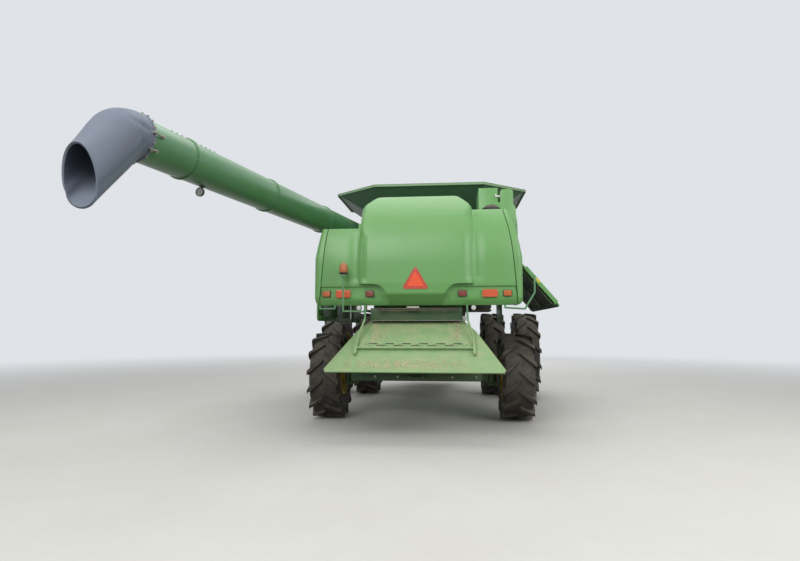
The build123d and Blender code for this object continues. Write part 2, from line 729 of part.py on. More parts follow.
with BuildPart() as cab_seat:
    inside_floor = cab_floor_z + cab_wall
    block((-200, 200), (250, 650), (inside_floor, inside_floor + 350))
    block((-260, 260), (180, 720), (inside_floor + 350, inside_floor + 480))
    block((-240, 240), (130, 250), (inside_floor + 480, inside_floor + 1080))
keep(cab_seat, "cab_seat")

with BuildPart() as steering_column:
    block((-80, 80), (1080, 1220), (inside_floor, inside_floor + 60))
    rod((0, 1150, inside_floor + 50), (0, 990, inside_floor + 760), 45)
    wheel_plane = Plane(origin=(0, 990, inside_floor + 760), z_dir=(0, -150, 720))
    with BuildSketch(wheel_plane) as wheel_outline:
        Circle(190)
        Circle(160, mode=Mode.SUBTRACT)
        Rectangle(360, 40)
    extrude(wheel_outline.sketch, amount=25, both=True)
keep(steering_column, "steering_column")

door_x = (-cab_half, -cab_half + door_thickness)
with BuildPart() as cab_door:
    block(door_x, (door_rear + door_gap, door_front - door_gap),
          (door_low + door_gap, door_high - door_gap))
    block((-900, -800), (door_rear + 70, door_front - 70), (door_low + 200, door_high - 70),
          mode=Mode.SUBTRACT)
    for z in (2300, 3300):
        block((-897, -cab_half), (door_rear + 28, door_rear + 90), (z - 10, z + 10))
        for end in (z - 40, z + 14):
            block((-897, -877), (door_rear - 14, door_rear + 90), (end, end + 26))
            block((-877, -cab_half), (door_rear + 12, door_rear + 90), (end, end + 26))
        rod((-887, door_rear - 4, z - 30), (-887, door_rear - 4, z + 30), 10)
    block((-905, -cab_half), (door_front - 60, door_front - 30), (2500, 2700))
keep(cab_door, "cab_door")

with BuildPart() as cab_door_glass:
    block((-850, -840), (door_rear + 70, door_front - 70), (door_low + 200, door_high - 70))
keep(cab_door_glass, "cab_door_glass")

# Operator platform on two beams, with handrails and the ladder's hinge sleeve.
platform_z = cab_floor_z - platform_thickness
with BuildPart() as platform:
    block((platform_left, cab_half + 10), (cab_rear - 30, platform_front), (platform_z, cab_floor_z))
    block((cab_half, tank_platform_right), (cab_rear - 30, 720), (platform_z, cab_floor_z))
    for x in both((560, 640)):
        block(x, (body_front, platform_front - 50), (platform_z - 80, platform_z))
    rod((*ladder_pin, platform_z - 10), (*ladder_pin, cab_floor_z + 10), 45)
    rod((*ladder_pin, platform_z - 20), (*ladder_pin, cab_floor_z + 20), ladder_pin_radius + seat_gap,
        mode=Mode.SUBTRACT)
keep(platform, "platform")

rail_height = cab_floor_z + 950
with BuildPart() as handrails:
    rail_x = platform_left + 25
    tube_run([(rail_x, cab_rear, cab_floor_z), (rail_x, cab_rear, rail_height), (rail_x, 60, rail_height),
              (rail_x, 60, cab_floor_z)], 18)
    front_rail_x = platform_left + 90
    tube_run([(front_rail_x, platform_front - 40, cab_floor_z),
              (front_rail_x, platform_front - 40, rail_height),
              (-cab_half - 60, platform_front - 40, rail_height),
              (-cab_half - 60, platform_front - 40, cab_floor_z)],
             18)
keep(handrails, "handrails")

# Boarding ladder: two slanted stringers with treads, on an upright pin.
ladder_top = (-1680, 1990)
ladder_foot = (-2210, 450)
with BuildPart() as ladder:
    for y in ((1040, 1060), (1380, 1400)):
        cross_slab([(ladder_top[0] - 110, ladder_top[1]), (ladder_top[0], ladder_top[1]),
                    (ladder_foot[0] + 55, ladder_foot[1]), (ladder_foot[0] - 55, ladder_foot[1])], y)
    treads = 6
    for index in range(treads):
        share = (index + 0.5) / treads
        x = ladder_foot[0] + (ladder_top[0] - 55 - ladder_foot[0]) * share
        z = ladder_foot[1] + (ladder_top[1] - ladder_foot[1]) * share
        block((x - 90, x + 90), (1060, 1380), (z - 15, z + 15))
    block((-1760, ladder_pin[0] + 30), (1390, ladder_pin[1] + 30), (1900, 1975))
    rod((*ladder_pin, 1940), (*ladder_pin, cab_floor_z + 40), ladder_pin_radius)
    rod((*ladder_pin, cab_floor_z + 16), (*ladder_pin, cab_floor_z + 40), 32)
keep(ladder, "ladder")

with BuildPart() as mirrors:
    for side in (1, -1):
        block(sorted((side * 930, side * 948)), (1570, 1630), (3620, 3680))
        tube_run([(side * 940, 1600, 3650), (side * 1150, 1750, 3650), (side * 1150, 1750, 3350)], 14)
        x = sorted((side * 1060, side * 1240))
        block(x, (1725, 1775), (2950, 3350))
keep(mirrors, "mirrors")

with BuildPart() as fuel_tank:
    block((cab_half + 20, tank_platform_right), (cab_rear, 700), (cab_floor_z, 2700))
    fillet(fuel_tank.edges().filter_by(Axis.Y), radius=60)
keep(fuel_tank, "fuel_tank")

# Feeder house: a slanted open duct that turns about its rear shaft.
def feeder_profile(inset, extra):
    """Side view of the feeder duct, drawn inward by inset and run out at the mouth by extra."""
    return [(feeder_pivot_y, feeder_pivot_z + feeder_drum_radius - inset),
            (feeder_front + extra, feeder_mouth_high - inset),
            (feeder_front + extra, feeder_mouth_low + inset),
            (feeder_pivot_y - 100, feeder_pivot_z - feeder_drum_radius + 17 + inset)]


with BuildPart() as feeder_house:
    side_slab(feeder_profile(0, 0), (-feeder_half, feeder_half))
    rod((-feeder_half, feeder_pivot_y, feeder_pivot_z), (feeder_half, feeder_pivot_y, feeder_pivot_z),
        feeder_drum_radius)
    block((-feeder_half - 70, feeder_half + 70), (feeder_front, feeder_front + 60),
          (feeder_mouth_low - 30, feeder_mouth_high + 40))
    inner = feeder_half - feeder_wall
    side_slab(feeder_profile(feeder_wall, 100), (-inner, inner), mode=Mode.SUBTRACT)
    rod((-inner, feeder_pivot_y, feeder_pivot_z), (inner, feeder_pivot_y, feeder_pivot_z),
        feeder_drum_radius - feeder_wall, mode=Mode.SUBTRACT)
    block((-inner, inner), (200, feeder_pivot_y), (feeder_pivot_z - 180, feeder_pivot_z + 180),
          mode=Mode.SUBTRACT)
    for side in (1, -1):
        rod((side * (feeder_half - 5), feeder_pivot_y, feeder_pivot_z),
            (side * (body_half + 70), feeder_pivot_y, feeder_pivot_z), feeder_shaft_radius)
        pin_x = feeder_half + 70
        rod((side * (pin_x - 10), feeder_front + 30, feeder_mouth_low + 10),
            (side * (pin_x + latch_pin_length), feeder_front + 30, feeder_mouth_low + 10), latch_pin_radius)
        for ear_x in (lift_x - 95, lift_x + 65):
            x = sorted((side * ear_x, side * (ear_x + 30)))
            lug = [(lift_eye[0] - 90, lift_eye[1] + 130), (lift_eye[0] + 120, lift_eye[1] + 30),
                   (lift_eye[0] + 35, lift_eye[1] - 35), (lift_eye[0] - 35, lift_eye[1] - 35)]
            side_slab(lug, x)
        rod((side * (lift_x - 95), *lift_eye), (side * (lift_x + 95), *lift_eye), lift_pin_radius)
keep(feeder_house, "feeder_house")

chain_front = (feeder_front - 170, 780)
chain_path = Vector(0, chain_front[0] - feeder_pivot_y, chain_front[1] - feeder_pivot_z)
chain_along = chain_path.normalized()
chain_rise = Vector(0, -chain_along.Z, chain_along.Y)
slat_pitch = 220


def chain_bar(along, low, high, half_length, x):
    """A bar across or along the feeder chain, placed on the line between its two drums."""
    corners = []
    for reach, height in ((-half_length, low), (half_length, low), (half_length, high),
                          (-half_length, high)):
        corner = chain_along * (along + reach) + chain_rise * height
        corners.append((feeder_pivot_y + corner.Y, feeder_pivot_z + corner.Z))
    side_slab(corners, x)


with BuildPart() as feeder_chain:
    for y, z in (chain_front, (feeder_pivot_y, feeder_pivot_z)):
        rod((-inner, y, z), (inner, y, z), 35)
        rod((-inner + 30, y, z), (inner - 30, y, z), 118)
    for sign in (1, -1):
        low, high = sorted((sign * 112, sign * 130))
        for middle_x in (-430, 0, 430):
            chain_bar(chain_path.length / 2, low, high, chain_path.length / 2,
                      (middle_x - 25, middle_x + 25))
        slat_low, slat_high = sorted((sign * 124, sign * 150))
        for index in range(1, int(chain_path.length / slat_pitch)):
            chain_bar(index * slat_pitch, slat_low, slat_high, 14, (-inner + 60, inner - 60))
keep(feeder_chain, "feeder_chain")

# Lift cylinders between the front axle and the feeder house.
lift_path = Vector(0, lift_eye[0] - lift_base[0], lift_eye[1] - lift_base[1])
lift_length = lift_path.length
lift_dir = lift_path.normalized()


def lift_point(x, along):
    """A point on a lift cylinder's axis, measured from its base pin."""
    return (x, lift_base[0] + lift_dir.Y * along, lift_base[1] + lift_dir.Z * along)


with BuildPart() as lift_barrels:
    for x in (-lift_x, lift_x):
        gland = lift_barrel_length - 60
        rod((x - 60, *lift_base), (x + 60, *lift_base), 52)
        rod(lift_point(x, 30), lift_point(x, 90), lift_barrel_radius)
        pipe(lift_point(x, 90), lift_point(x, gland), lift_barrel_radius, lift_rod_radius + 4)
        pipe(lift_point(x, gland), lift_point(x, lift_barrel_length), lift_barrel_radius + 5,
             lift_rod_radius + seat_gap)
        rod((x - 70, *lift_base), (x + 70, *lift_base), lift_pin_radius + seat_gap, mode=Mode.SUBTRACT)
keep(lift_barrels, "lift_barrels")

with BuildPart() as lift_rods:
    for x in (-lift_x, lift_x):
        rod(lift_point(x, 180), lift_point(x, lift_length - 30), lift_rod_radius)
        rod((x - 50, *lift_eye), (x + 50, *lift_eye), 58)
        rod((x - 60, *lift_eye), (x + 60, *lift_eye), lift_pin_radius + 8, mode=Mode.SUBTRACT)
keep(lift_rods, "lift_rods")

# Unloading auger: a fixed turret, the swinging tube and its rubber spout.
auger_dir = Vector(-sin(radians(auger_outward)), -cos(radians(auger_outward)), 0)


def auger_point(along, z=auger_z):
    """A point on the auger's line, measured from its pivot."""
    return (auger_x + auger_dir.X * along, auger_y + auger_dir.Y * along, z)


with BuildPart() as auger_turret:
    rod((auger_x, auger_y, deck_top), (auger_x, auger_y, turret_top_z), turret_radius)
    rod((auger_x, auger_y, turret_top_z - 30), (auger_x, auger_y, turret_top_z), turret_radius + 25)
keep(auger_turret, "auger_turret")

with BuildPart() as auger_tube:
    rod((auger_x, auger_y, turret_top_z + seat_gap), (auger_x, auger_y, auger_z), turret_radius)
    rod((auger_x, auger_y, turret_top_z + seat_gap), (auger_x, auger_y, turret_top_z + 30),
        turret_radius + 25)
    with Locations((auger_x, auger_y, auger_z)):
        Sphere(auger_radius + 3)
    rod(auger_point(0), auger_point(auger_length), auger_radius)
    for along in auger_seams:
        rod(auger_point(along - seam_width), auger_point(along + seam_width), auger_radius + 16)
keep(auger_tube, "auger_tube")


def spout_form(radius, start, tail):
    """A round duct that leaves the tube level and bends down and out."""
    begin = Vector(*auger_point(start))
    bend_start = Vector(*auger_point(auger_length + spout_straight))
    centre = bend_start - Vector(0, 0, spout_bend)
    bend_points = []
    for turn in (radians(spout_angle / 2), radians(spout_angle)):
        bend_points.append(centre + auger_dir * (spout_bend * sin(turn)) + Vector(0, 0,
                                                                                  spout_bend * cos(turn)))
    down = auger_dir * cos(turn) - Vector(0, 0, sin(turn))
    with BuildPart() as duct:
        with BuildLine():
            Line(begin, bend_start)
            ThreePointArc(bend_start, *bend_points)
            Line(bend_points[1], bend_points[1] + down * tail)
        with BuildSketch(Plane(origin=begin, z_dir=auger_dir)):
            Circle(radius)
        sweep()
    return duct.part, bend_points[1] + down * spout_tail


duct, mouth_centre = spout_form(spout_radius, auger_length - spout_overlap, spout_tail + 400)
duct_bore, mouth_centre = spout_form(spout_radius - spout_wall, auger_length - spout_overlap - 40,
                                     spout_tail + 500)
mouth_normal = auger_dir * cos(radians(mouth_tilt)) - Vector(0, 0, sin(radians(mouth_tilt)))
with BuildPart() as auger_spout:
    add(duct)
    rod(auger_point(auger_length - spout_overlap + 8), auger_point(auger_length - spout_overlap + 36),
        spout_radius + 12)
    add(duct_bore, mode=Mode.SUBTRACT)
    with BuildSketch(Plane(origin=mouth_centre, z_dir=mouth_normal)) as beyond:
        Rectangle(6 * spout_radius, 6 * spout_radius)
    extrude(beyond.sketch, amount=800, mode=Mode.SUBTRACT)
keep(auger_spout, "auger_spout")

with BuildPart() as auger_rest:
    cross_slab([(auger_x - 220, left_shoulder_z - 60), (auger_x - 50, left_shoulder_z),
                (auger_x - 50, left_shoulder_z + 60), (auger_x - 230, auger_z - auger_radius - 30),
                (auger_x - 490, auger_z - auger_radius - 30)], (-2650, -2600))
    block((auger_x - 350, auger_x + 50), (-2700, -2550), (left_shoulder_z - 70, left_shoulder_z),
          mode=Mode.SUBTRACT)
keep(auger_rest, "auger_rest")

lamp_along = 6230
lamp_drop = auger_radius + 83
with BuildPart() as auger_lamp:
    rod(auger_point(lamp_along, auger_z - lamp_drop), auger_point(lamp_along + 95, auger_z - lamp_drop), 58)
    rod(auger_point(lamp_along + 45, auger_z - lamp_drop + 20), auger_point(lamp_along + 45,
                                                                            auger_z - auger_radius + 8),
        14)
    rod(auger_point(lamp_along - 200), auger_point(lamp_along + 200), auger_radius + seat_gap,
        mode=Mode.SUBTRACT)
keep(auger_lamp, "auger_lamp")

# Side shields hinged along their top edge, the right one raised at rest.
shield_rear = bay_rear + running_gap
hinge_places = (bay_rear + 300, (bay_rear + shield_front) / 2, shield_front - 300)
shield_low = shield_hinge_z - shield_drop
shield_high = shield_hinge_z - 40
rib_depth = 16
for side, name, opened in ((-1, "shield_left", 0), (1, "shield_right", right_shield_open)):
    with BuildPart() as shield:
        inner_x = shield_hinge_x - 12
        x = sorted((side * inner_x, side * (inner_x + shield_thickness)))
        side_slab([(shield_rear + 60, shield_high), (shield_front, shield_high), (shield_front, shield_low),
                   (shield_rear, shield_low), (shield_rear, shield_high - 200)], x)
        fillet(shield.edges().filter_by(Axis.X).group_by(Axis.Z)[0], radius=90)
        x = sorted((side * (inner_x - rib_depth), side * inner_x))
        for z in (shield_low + 60, (shield_low + shield_high) / 2, shield_high - 60):
            block(x, (shield_rear + 100, shield_front - 60), (z - 20, z + 20))
        for y in hinge_places:
            block(x, (y - 20, y + 20), (shield_low + 60, shield_high - 60))
        x = sorted((side * inner_x, side * (inner_x + shield_thickness)))
        for y in hinge_places:
            for low in (y - 62, y + 34):
                block(x, (low, low + 28), (shield_hinge_z - 60, shield_hinge_z))
                rod((side * shield_hinge_x, low, shield_hinge_z),
                    (side * shield_hinge_x, low + 28, shield_hinge_z),
                    shield_pin_radius + 5)
            rod((side * shield_hinge_x, y - 60, shield_hinge_z),
                (side * shield_hinge_x, y + 60, shield_hinge_z),
                shield_pin_radius)
    hinge = Axis((side * shield_hinge_x, 0, shield_hinge_z), (0, -side, 0))
    turned = shield.part.rotate(hinge, opened)
    turned.label = name
    pieces[name] = turned

# Straw chopper: side plates and top under the hood, around its rotor.
rotor_y = -4930
rotor_z = 1560
rotor_drum_radius = 85
knife_tip_radius = 138
knife_rows = 4
knives_per_row = 9
with BuildPart() as chopper_housing:
    profile = [(body_rear, belly_z), (body_rear, 1900), (-5230, 1900), (-5230, 1720), (-5060, 1720),
               (-5060, belly_z)]
    side_slab(profile, (-body_half, body_half))
    side_slab([(body_rear + 10, belly_z - 10), (body_rear + 10, 1700), (-5040, 1860), (-5210, 1860),
               (-5210, 1700),
               (-5300, 1700), (-5300, belly_z - 10)], (-body_half + 20, body_half - 20), mode=Mode.SUBTRACT)
    block((-140, 50), (-5290, -5229), (1850, 1925))
    rod((-body_half - 5, rotor_y, rotor_z), (body_half + 5, rotor_y, rotor_z), 30 + seat_gap,
        mode=Mode.SUBTRACT)
keep(chopper_housing, "chopper_housing")

with BuildPart() as chopper_rotor:
    rod((-body_half + 1, rotor_y, rotor_z), (body_half - 1, rotor_y, rotor_z), 30)
    rod((-body_half + 40, rotor_y, rotor_z), (body_half - 40, rotor_y, rotor_z), rotor_drum_radius)
    knife_step = (2 * body_half - 160) / knives_per_row
    for row in range(knife_rows):
        with BuildPart(mode=Mode.PRIVATE) as knives:
            for index in range(knives_per_row):
                x = -body_half + 80 + knife_step * (index + 0.25 + 0.5 * (row % 2))
                block((x - 4, x + 4), (rotor_y - 25, rotor_y + 25),
                      (rotor_z + rotor_drum_radius - 10, rotor_z + knife_tip_radius))
        add(knives.part.rotate(Axis((0, rotor_y, rotor_z), (1, 0, 0)), 360 / knife_rows * row))
keep(chopper_rotor, "chopper_rotor")

# Tailboard that spreads the straw, with its slotted inner plate, cross bar and two stays from the hood.
tail_top = (-5060, 1700)
tail_low = (-5900, 970)
tail_thickness = 22
tail_dir = Vector(0, tail_low[0] - tail_top[0], tail_low[1] - tail_top[1])
tail_along = tail_dir.normalized()
tail_up = Vector(0, tail_along.Z, -tail_along.Y)
board_plane = Plane(origin=(0, *tail_top), x_dir=(1, 0, 0), z_dir=tail_up)
bar_along = 665
stay_x = 770
bracket_x = 858
bracket_outline = [
    # distance down the board, height above its underside
    (500, 10), (500, 60), (640, 90), (800, 80), (800, 10),
]


def tail_point(x, along, height):
    """A point above the tailboard, measured down its slope from its top edge."""
    point = Vector(0, *tail_top) + tail_along * along + tail_up * height
    return (x, point.Y, point.Z)


with BuildPart() as tailboard:
    with BuildSketch(board_plane) as board:
        with BuildLine():
            Polyline((-710, 0), (710, 0), (900, -260), (1270, -tail_dir.length + 60),
                     (1250, -tail_dir.length),
                     (-1250, -tail_dir.length), (-1270, -tail_dir.length + 60), (-900, -260), close=True)
        make_face()
    extrude(board.sketch, amount=tail_thickness)
    with BuildSketch(board_plane) as inner_plate:
        with BuildLine():
            Polyline((-690, -40), (690, -40), (830, -620), (-830, -620), close=True)
        make_face()
        for row, shift_x in ((-560, 0), (-590, 60)):
            with Locations((shift_x - 30, row)):
                with GridLocations(125, 1, 12, 1):
                    Rectangle(70, 10, mode=Mode.SUBTRACT)
    extrude(inner_plate.sketch, amount=tail_thickness + 12)
    block((-710, 710), (-5095, -5060), (1640, 1715))
    for side in (1, -1):
        bracket = [tail_point(0, along, height) for along, height in bracket_outline]
        side_slab([(point[1], point[2]) for point in bracket],
                  sorted((side * (bracket_x - 18), side * (bracket_x + 18))))
        tube_run([(side * stay_x, hood_stay_y, hood_bottom_z - seat_gap),
                  (side * stay_x, hood_stay_y, hood_bottom_z - 60),
                  (side * (stay_x + 5), hood_stay_y - 20, 1720),
                  (side * (bracket_x - 8), *tail_point(0, 440, 95)[1:]),
                  (side * bracket_x, *tail_point(0, 620, 70)[1:])], 16)
    rod(tail_point(-bracket_x, bar_along, 62), tail_point(bracket_x, bar_along, 62), 18)
    block((-1300, 1300), (-5060, -5000), (1500, 1760), mode=Mode.SUBTRACT)
keep(tailboard, "tailboard")

hitch_y = -5410
hitch_z = 865
hitch_pin_radius = 16
beam_rear = -5340
with BuildPart() as rear_beam:
    block((-970, 970), (beam_rear, beam_rear + 90), (810, 930))
    for x in both((body_half, body_half + 70)):
        side_slab([(rail_rear, belly_z - 10), (rail_rear, rail_z + 10), (beam_rear + 100, 810),
                   (beam_rear, 810),
                   (beam_rear, 930)], x)
    block((-150, 150), (hitch_y - 50, beam_rear + 10), (hitch_z - 15, hitch_z + 15))
    rod((0, hitch_y, hitch_z - 25), (0, hitch_y, hitch_z + 25), hitch_pin_radius + 0.5, mode=Mode.SUBTRACT)
keep(rear_beam, "rear_beam")

# Rear lamps, reflectors, the triangle sign, beacon and marker arms.
band_y = (hood_face_y - 14, band_floor_y)
lamp_sets = [
    # node, centre x, half width, half height
    ("lamps_amber", side_half - 180, 65, 50),
    ("reflectors", side_half - 440, 112, 57),
    ("lamps_red", 700, 65, 50),
]
for name, centre_x, half_x, half_z in lamp_sets:
    with BuildPart() as lamps:
        for x in both((centre_x - half_x, centre_x + half_x)):
            block(x, band_y, (2115 - half_z, 2115 + half_z))
    keep(lamps, name)

with BuildPart() as triangle_sign:
    cross_slab([(-203, 2180), (203, 2180), (0, 2530)], (hood_rear - 12, hood_rear))
keep(triangle_sign, "triangle_sign")

beacon_x = -side_half + 470
beacon_y = hood_face_y - 145
beacon_low = 2400
with BuildPart() as beacon:
    rod((beacon_x, beacon_y, beacon_low), (beacon_x, beacon_y, beacon_low + 140), 70)
    rod((beacon_x, beacon_y, beacon_low + 140), (beacon_x, beacon_y, beacon_low + 190), 52)
keep(beacon, "beacon")

edge_y = hood_face_y + hood_wall / 2
tube_radius = 14
arm_x = side_half + 216
with BuildPart() as marker_tubes:
    beacon_arm_z = hood_bottom_z - 95
    tube_run([(-stay_x - 17.4, edge_y - 4, beacon_arm_z), (-stay_x - 60, edge_y - 4, beacon_arm_z),
              (beacon_x, beacon_y, beacon_arm_z),
              (beacon_x, beacon_y, beacon_low - 40)], tube_radius)
    rod((beacon_x, beacon_y, beacon_low - 40), (beacon_x, beacon_y, beacon_low), 34)
    tube_run([(side_half - 220, edge_y, hood_bottom_z), (side_half - 220, edge_y, 1900),
              (side_half + 70, edge_y, 1880), (arm_x, edge_y, 2120), (arm_x, edge_y, 2380)], tube_radius)
    tube_run([(-side_half + 70, edge_y + 31, hood_bottom_z), (-side_half + 70, edge_y + 31, 1890),
              (-side_half + 310, edge_y, 1890), (-side_half + 310, edge_y, hood_bottom_z)], tube_radius)
    for x in (-865, 865):
        rod((x, edge_y - 35, hood_bottom_z - 40), (x, edge_y + 35, hood_bottom_z - 40), 38)
        rod((x, edge_y, hood_bottom_z - 40), (x, edge_y, hood_bottom_z), 12)
keep(marker_tubes, "marker_tubes")

# Belt drives on both sides of the body, open to view under the shields.
drives = [
    # y, z, radius
    (-2600, 2060, 200),
    (-3300, 1900, 300),
    (-4200, 2000, 180),
    (-4450, 1560, 140),
]
belt_thickness = 14
with BuildPart() as side_drives:
    for side in (1, -1):
        for y, z, radius in drives:
            rod((side * body_half, y, z), (side * (body_half + 90), y, z), 45)
            rod((side * (body_half + 20), y, z), (side * (body_half + 75), y, z), radius - belt_thickness)
            pipe((side * (body_half + 50), y, z), (side * (body_half + 80), y, z), radius - 30, 80,
                 mode=Mode.SUBTRACT)
        for first, second, depth in zip(drives, drives[1:], (28, 50, 28)):
            with BuildSketch(Plane.YZ.offset(side * (body_half + depth))) as belt:
                for y, z, radius in (first, second):
                    with Locations((y, z)):
                        Circle(radius)
                make_hull()
                with BuildSketch(mode=Mode.PRIVATE) as inside:
                    for y, z, radius in (first, second):
                        with Locations((y, z)):
                            Circle(radius - belt_thickness)
                    make_hull()
                add(inside.sketch, mode=Mode.SUBTRACT)
            extrude(belt.sketch, amount=20, dir=(side, 0, 0))
keep(side_drives, "side_drives")

# The whole machine stands in the middle of its own box.
whole = Compound(children=[Part(piece.wrapped) for piece in pieces.values()]).bounding_box()
shift = (-(whole.min.X + whole.max.X) / 2, -(whole.min.Y + whole.max.Y) / 2, -whole.min.Z)
print("shift", *(round(value, 4) for value in shift))
for name, piece in pieces.items():
    placed = piece.moved(Location(shift))
    placed.label = name
    export_step(placed, f"parts/{name}.step")
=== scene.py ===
# %% [markdown]
# A combine harvester seen from behind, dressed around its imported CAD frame.
# The frame brings every solid at its real size and place. This file gives each of them
# a finish, adds the small things that are too fine for the solids, and sets up
# the camera, the floor and the light.

# %% Load the frame
import json
import random
from math import asin, atan2, cos, exp, pi, radians, sin, sqrt

import bmesh
import bpy
from mathutils import Matrix, Vector


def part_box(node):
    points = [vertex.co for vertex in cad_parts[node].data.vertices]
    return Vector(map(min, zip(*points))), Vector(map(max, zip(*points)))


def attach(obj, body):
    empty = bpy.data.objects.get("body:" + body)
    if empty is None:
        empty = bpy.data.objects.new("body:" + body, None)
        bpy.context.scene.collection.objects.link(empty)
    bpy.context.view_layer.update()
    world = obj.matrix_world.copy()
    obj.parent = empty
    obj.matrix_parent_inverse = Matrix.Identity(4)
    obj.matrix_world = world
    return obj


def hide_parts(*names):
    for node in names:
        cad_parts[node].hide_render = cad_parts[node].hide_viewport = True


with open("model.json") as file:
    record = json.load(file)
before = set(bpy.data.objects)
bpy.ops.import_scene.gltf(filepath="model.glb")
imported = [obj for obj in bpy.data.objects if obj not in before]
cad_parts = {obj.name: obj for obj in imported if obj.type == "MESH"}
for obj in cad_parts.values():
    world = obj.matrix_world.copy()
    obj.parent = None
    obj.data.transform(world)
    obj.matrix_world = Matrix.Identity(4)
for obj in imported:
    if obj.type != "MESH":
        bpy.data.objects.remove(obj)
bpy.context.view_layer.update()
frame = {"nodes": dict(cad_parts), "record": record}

# %% [markdown]
# The machine was drawn about its front axle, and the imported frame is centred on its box.
# A place on the machine is easiest to give in machine metres: X to its right,
# Y forward from the front axle, Z up from the ground. One helper turns it into the frame's.

# %% Machine places
hood_low, hood_high = (Vector(corner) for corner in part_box("rear_hood"))
tyre_low, tyre_high = (Vector(corner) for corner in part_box("front_tyres_left"))
machine_middle = Vector(((hood_low.x + hood_high.x) / 2, (tyre_low.y + tyre_high.y) / 2, 0))


def at(x, y, z):
    """A place in machine metres, in the frame's coordinates."""
    return machine_middle + Vector((x, y, z))


print("front axle stands at", tuple(round(value, 3) for value in machine_middle))

# %% [markdown]
# The photograph was taken by someone standing behind the machine, a little to its right,
# with a wide phone lens tilted up by five degrees. The camera is turned by three plain angles.

# %% Camera
camera_data = bpy.data.cameras.new("camera")
camera_data.sensor_width = 36
camera_data.lens = 24.3
camera_data.clip_end = 200
camera = bpy.data.objects.new("camera", camera_data)
bpy.context.scene.collection.objects.link(camera)
camera.location = at(0.53, -13.45, 1.60)
camera.rotation_euler = (radians(95.0), 0, radians(5.4))
bpy.context.scene.camera = camera
print("camera at", tuple(round(value, 2) for value in camera.location))

# %% [markdown]
# Every finish is built from nodes, and every new shape starts as a bmesh. A few helpers keep
# those steps short, so that a finish or a piece reads as its own list of values.

# %% Node and object helpers
def srgb(red, green, blue):
    """A colour as a painter would read it from a chart (0 to 255), in linear light."""
    def channel(value):
        value /= 255
        return value / 12.92 if value <= 0.04045 else ((value + 0.055) / 1.055) ** 2.4
    return (channel(red), channel(green), channel(blue), 1)


def feed(links, socket, value):
    """Give a node's input a value, or link it where the value is another socket."""
    if isinstance(value, bpy.types.NodeSocket):
        links.new(value, socket)
    else:
        socket.default_value = value


def add_noise(nodes, links, place, scale, detail, rough=0.6):
    """Add a noise on Object coordinates."""
    node = nodes.new("ShaderNodeTexNoise")
    links.new(place.outputs["Object"], node.inputs["Vector"])
    feed(links, node.inputs["Scale"], scale)
    node.inputs["Detail"].default_value = detail
    node.inputs["Roughness"].default_value = rough
    return node.outputs["Fac"]


def add_math(nodes, links, operation, *values, clamp=False):
    """Add a Math node whose inputs are numbers or sockets."""
    node = nodes.new("ShaderNodeMath")
    node.operation = operation
    node.use_clamp = clamp
    for slot, value in enumerate(values):
        feed(links, node.inputs[slot], value)
    return node.outputs[0]


def add_mix(nodes, links, factor, first, second):
    """Add a colour Mix node whose two colours are given or linked."""
    node = nodes.new("ShaderNodeMix")
    node.data_type = "RGBA"
    feed(links, node.inputs["Factor"], factor)
    feed(links, node.inputs["A"], first)
    feed(links, node.inputs["B"], second)
    return node.outputs["Result"]


def seen_directly(nodes, links):
    """Add nodes that give 1 to the camera and to mirror-like rays, and 0 to the rest."""
    paths = nodes.new("ShaderNodeLightPath").outputs
    mirrored = add_math(nodes, links, "MAXIMUM", paths["Is Glossy Ray"], paths["Is Transmission Ray"])
    return add_math(nodes, links, "MAXIMUM", paths["Is Camera Ray"], mirrored)


def new_object(name, form):
    """Turn a bmesh into an object that stands at the origin."""
    data = bpy.data.meshes.new(name)
    form.to_mesh(data)
    form.free()
    made_object = bpy.data.objects.new(name, data)
    bpy.context.scene.collection.objects.link(made_object)
    return made_object


print("helpers for nodes and objects ready")

# %% [markdown]
# A plain pale floor runs on into a pale world. Large area lamps behind and above the camera
# give soft light, and weaker ones at the side and in front keep the far sides readable. The
# background is pale only to the camera and to mirror-like rays, so it doesn't wash out the paint.

# %% Floor, world and lamps
sky_colour, sky_level = (0.93, 0.96, 1.0, 1), 0.80
scene = bpy.context.scene
scene.view_settings.view_transform = "Standard"
floor_mesh = bmesh.new()
bmesh.ops.create_grid(floor_mesh, x_segments=1, y_segments=1, size=60)
floor = new_object("floor", floor_mesh)

world = bpy.data.worlds.new("world")
scene.world = world
world.use_nodes = True
nodes, links = world.node_tree.nodes, world.node_tree.links
background = nodes["Background"]
background.inputs["Color"].default_value = sky_colour
level = nodes.new("ShaderNodeMapRange")
level.inputs["To Min"].default_value = 0.50
level.inputs["To Max"].default_value = sky_level
links.new(seen_directly(nodes, links), level.inputs["Value"])
links.new(level.outputs["Result"], background.inputs["Strength"])

lamps = [
    # name, place in machine metres, size, power, aimed at
    ("key lamp", (-4.0, -15.0, 8.5), 7.0, 760, (0, -4.5, 2.2)),
    ("fill lamp", (7.5, -11.0, 6.0), 6.0, 380, (0, -4.5, 2.0)),
    ("front lamp", (2.0, 13.0, 8.0), 8.0, 520, (0, 0, 2.0)),
    ("top lamp", (0, -2.0, 13.0), 9.0, 520, (0, -2.0, 0)),
]
for name, place, size, power, target in lamps:
    lamp_data = bpy.data.lights.new(name, "AREA")
    lamp_data.size = size
    lamp_data.energy = power
    lamp = bpy.data.objects.new(name, lamp_data)
    scene.collection.objects.link(lamp)
    lamp.location = at(*place)
    aim = at(*target) - lamp.location
    lamp.rotation_euler = aim.to_track_quat("-Z", "Y").to_euler()
print(len(lamps), "lamps")

# %% [markdown]
# Chaff and field dust settle on everything that faces up, and cling in patches elsewhere.
# Every finish shares one node group for it: it gives a mask from the surface's slope
# and from two sizes of noise, and each material mixes its own dust colour by that mask.

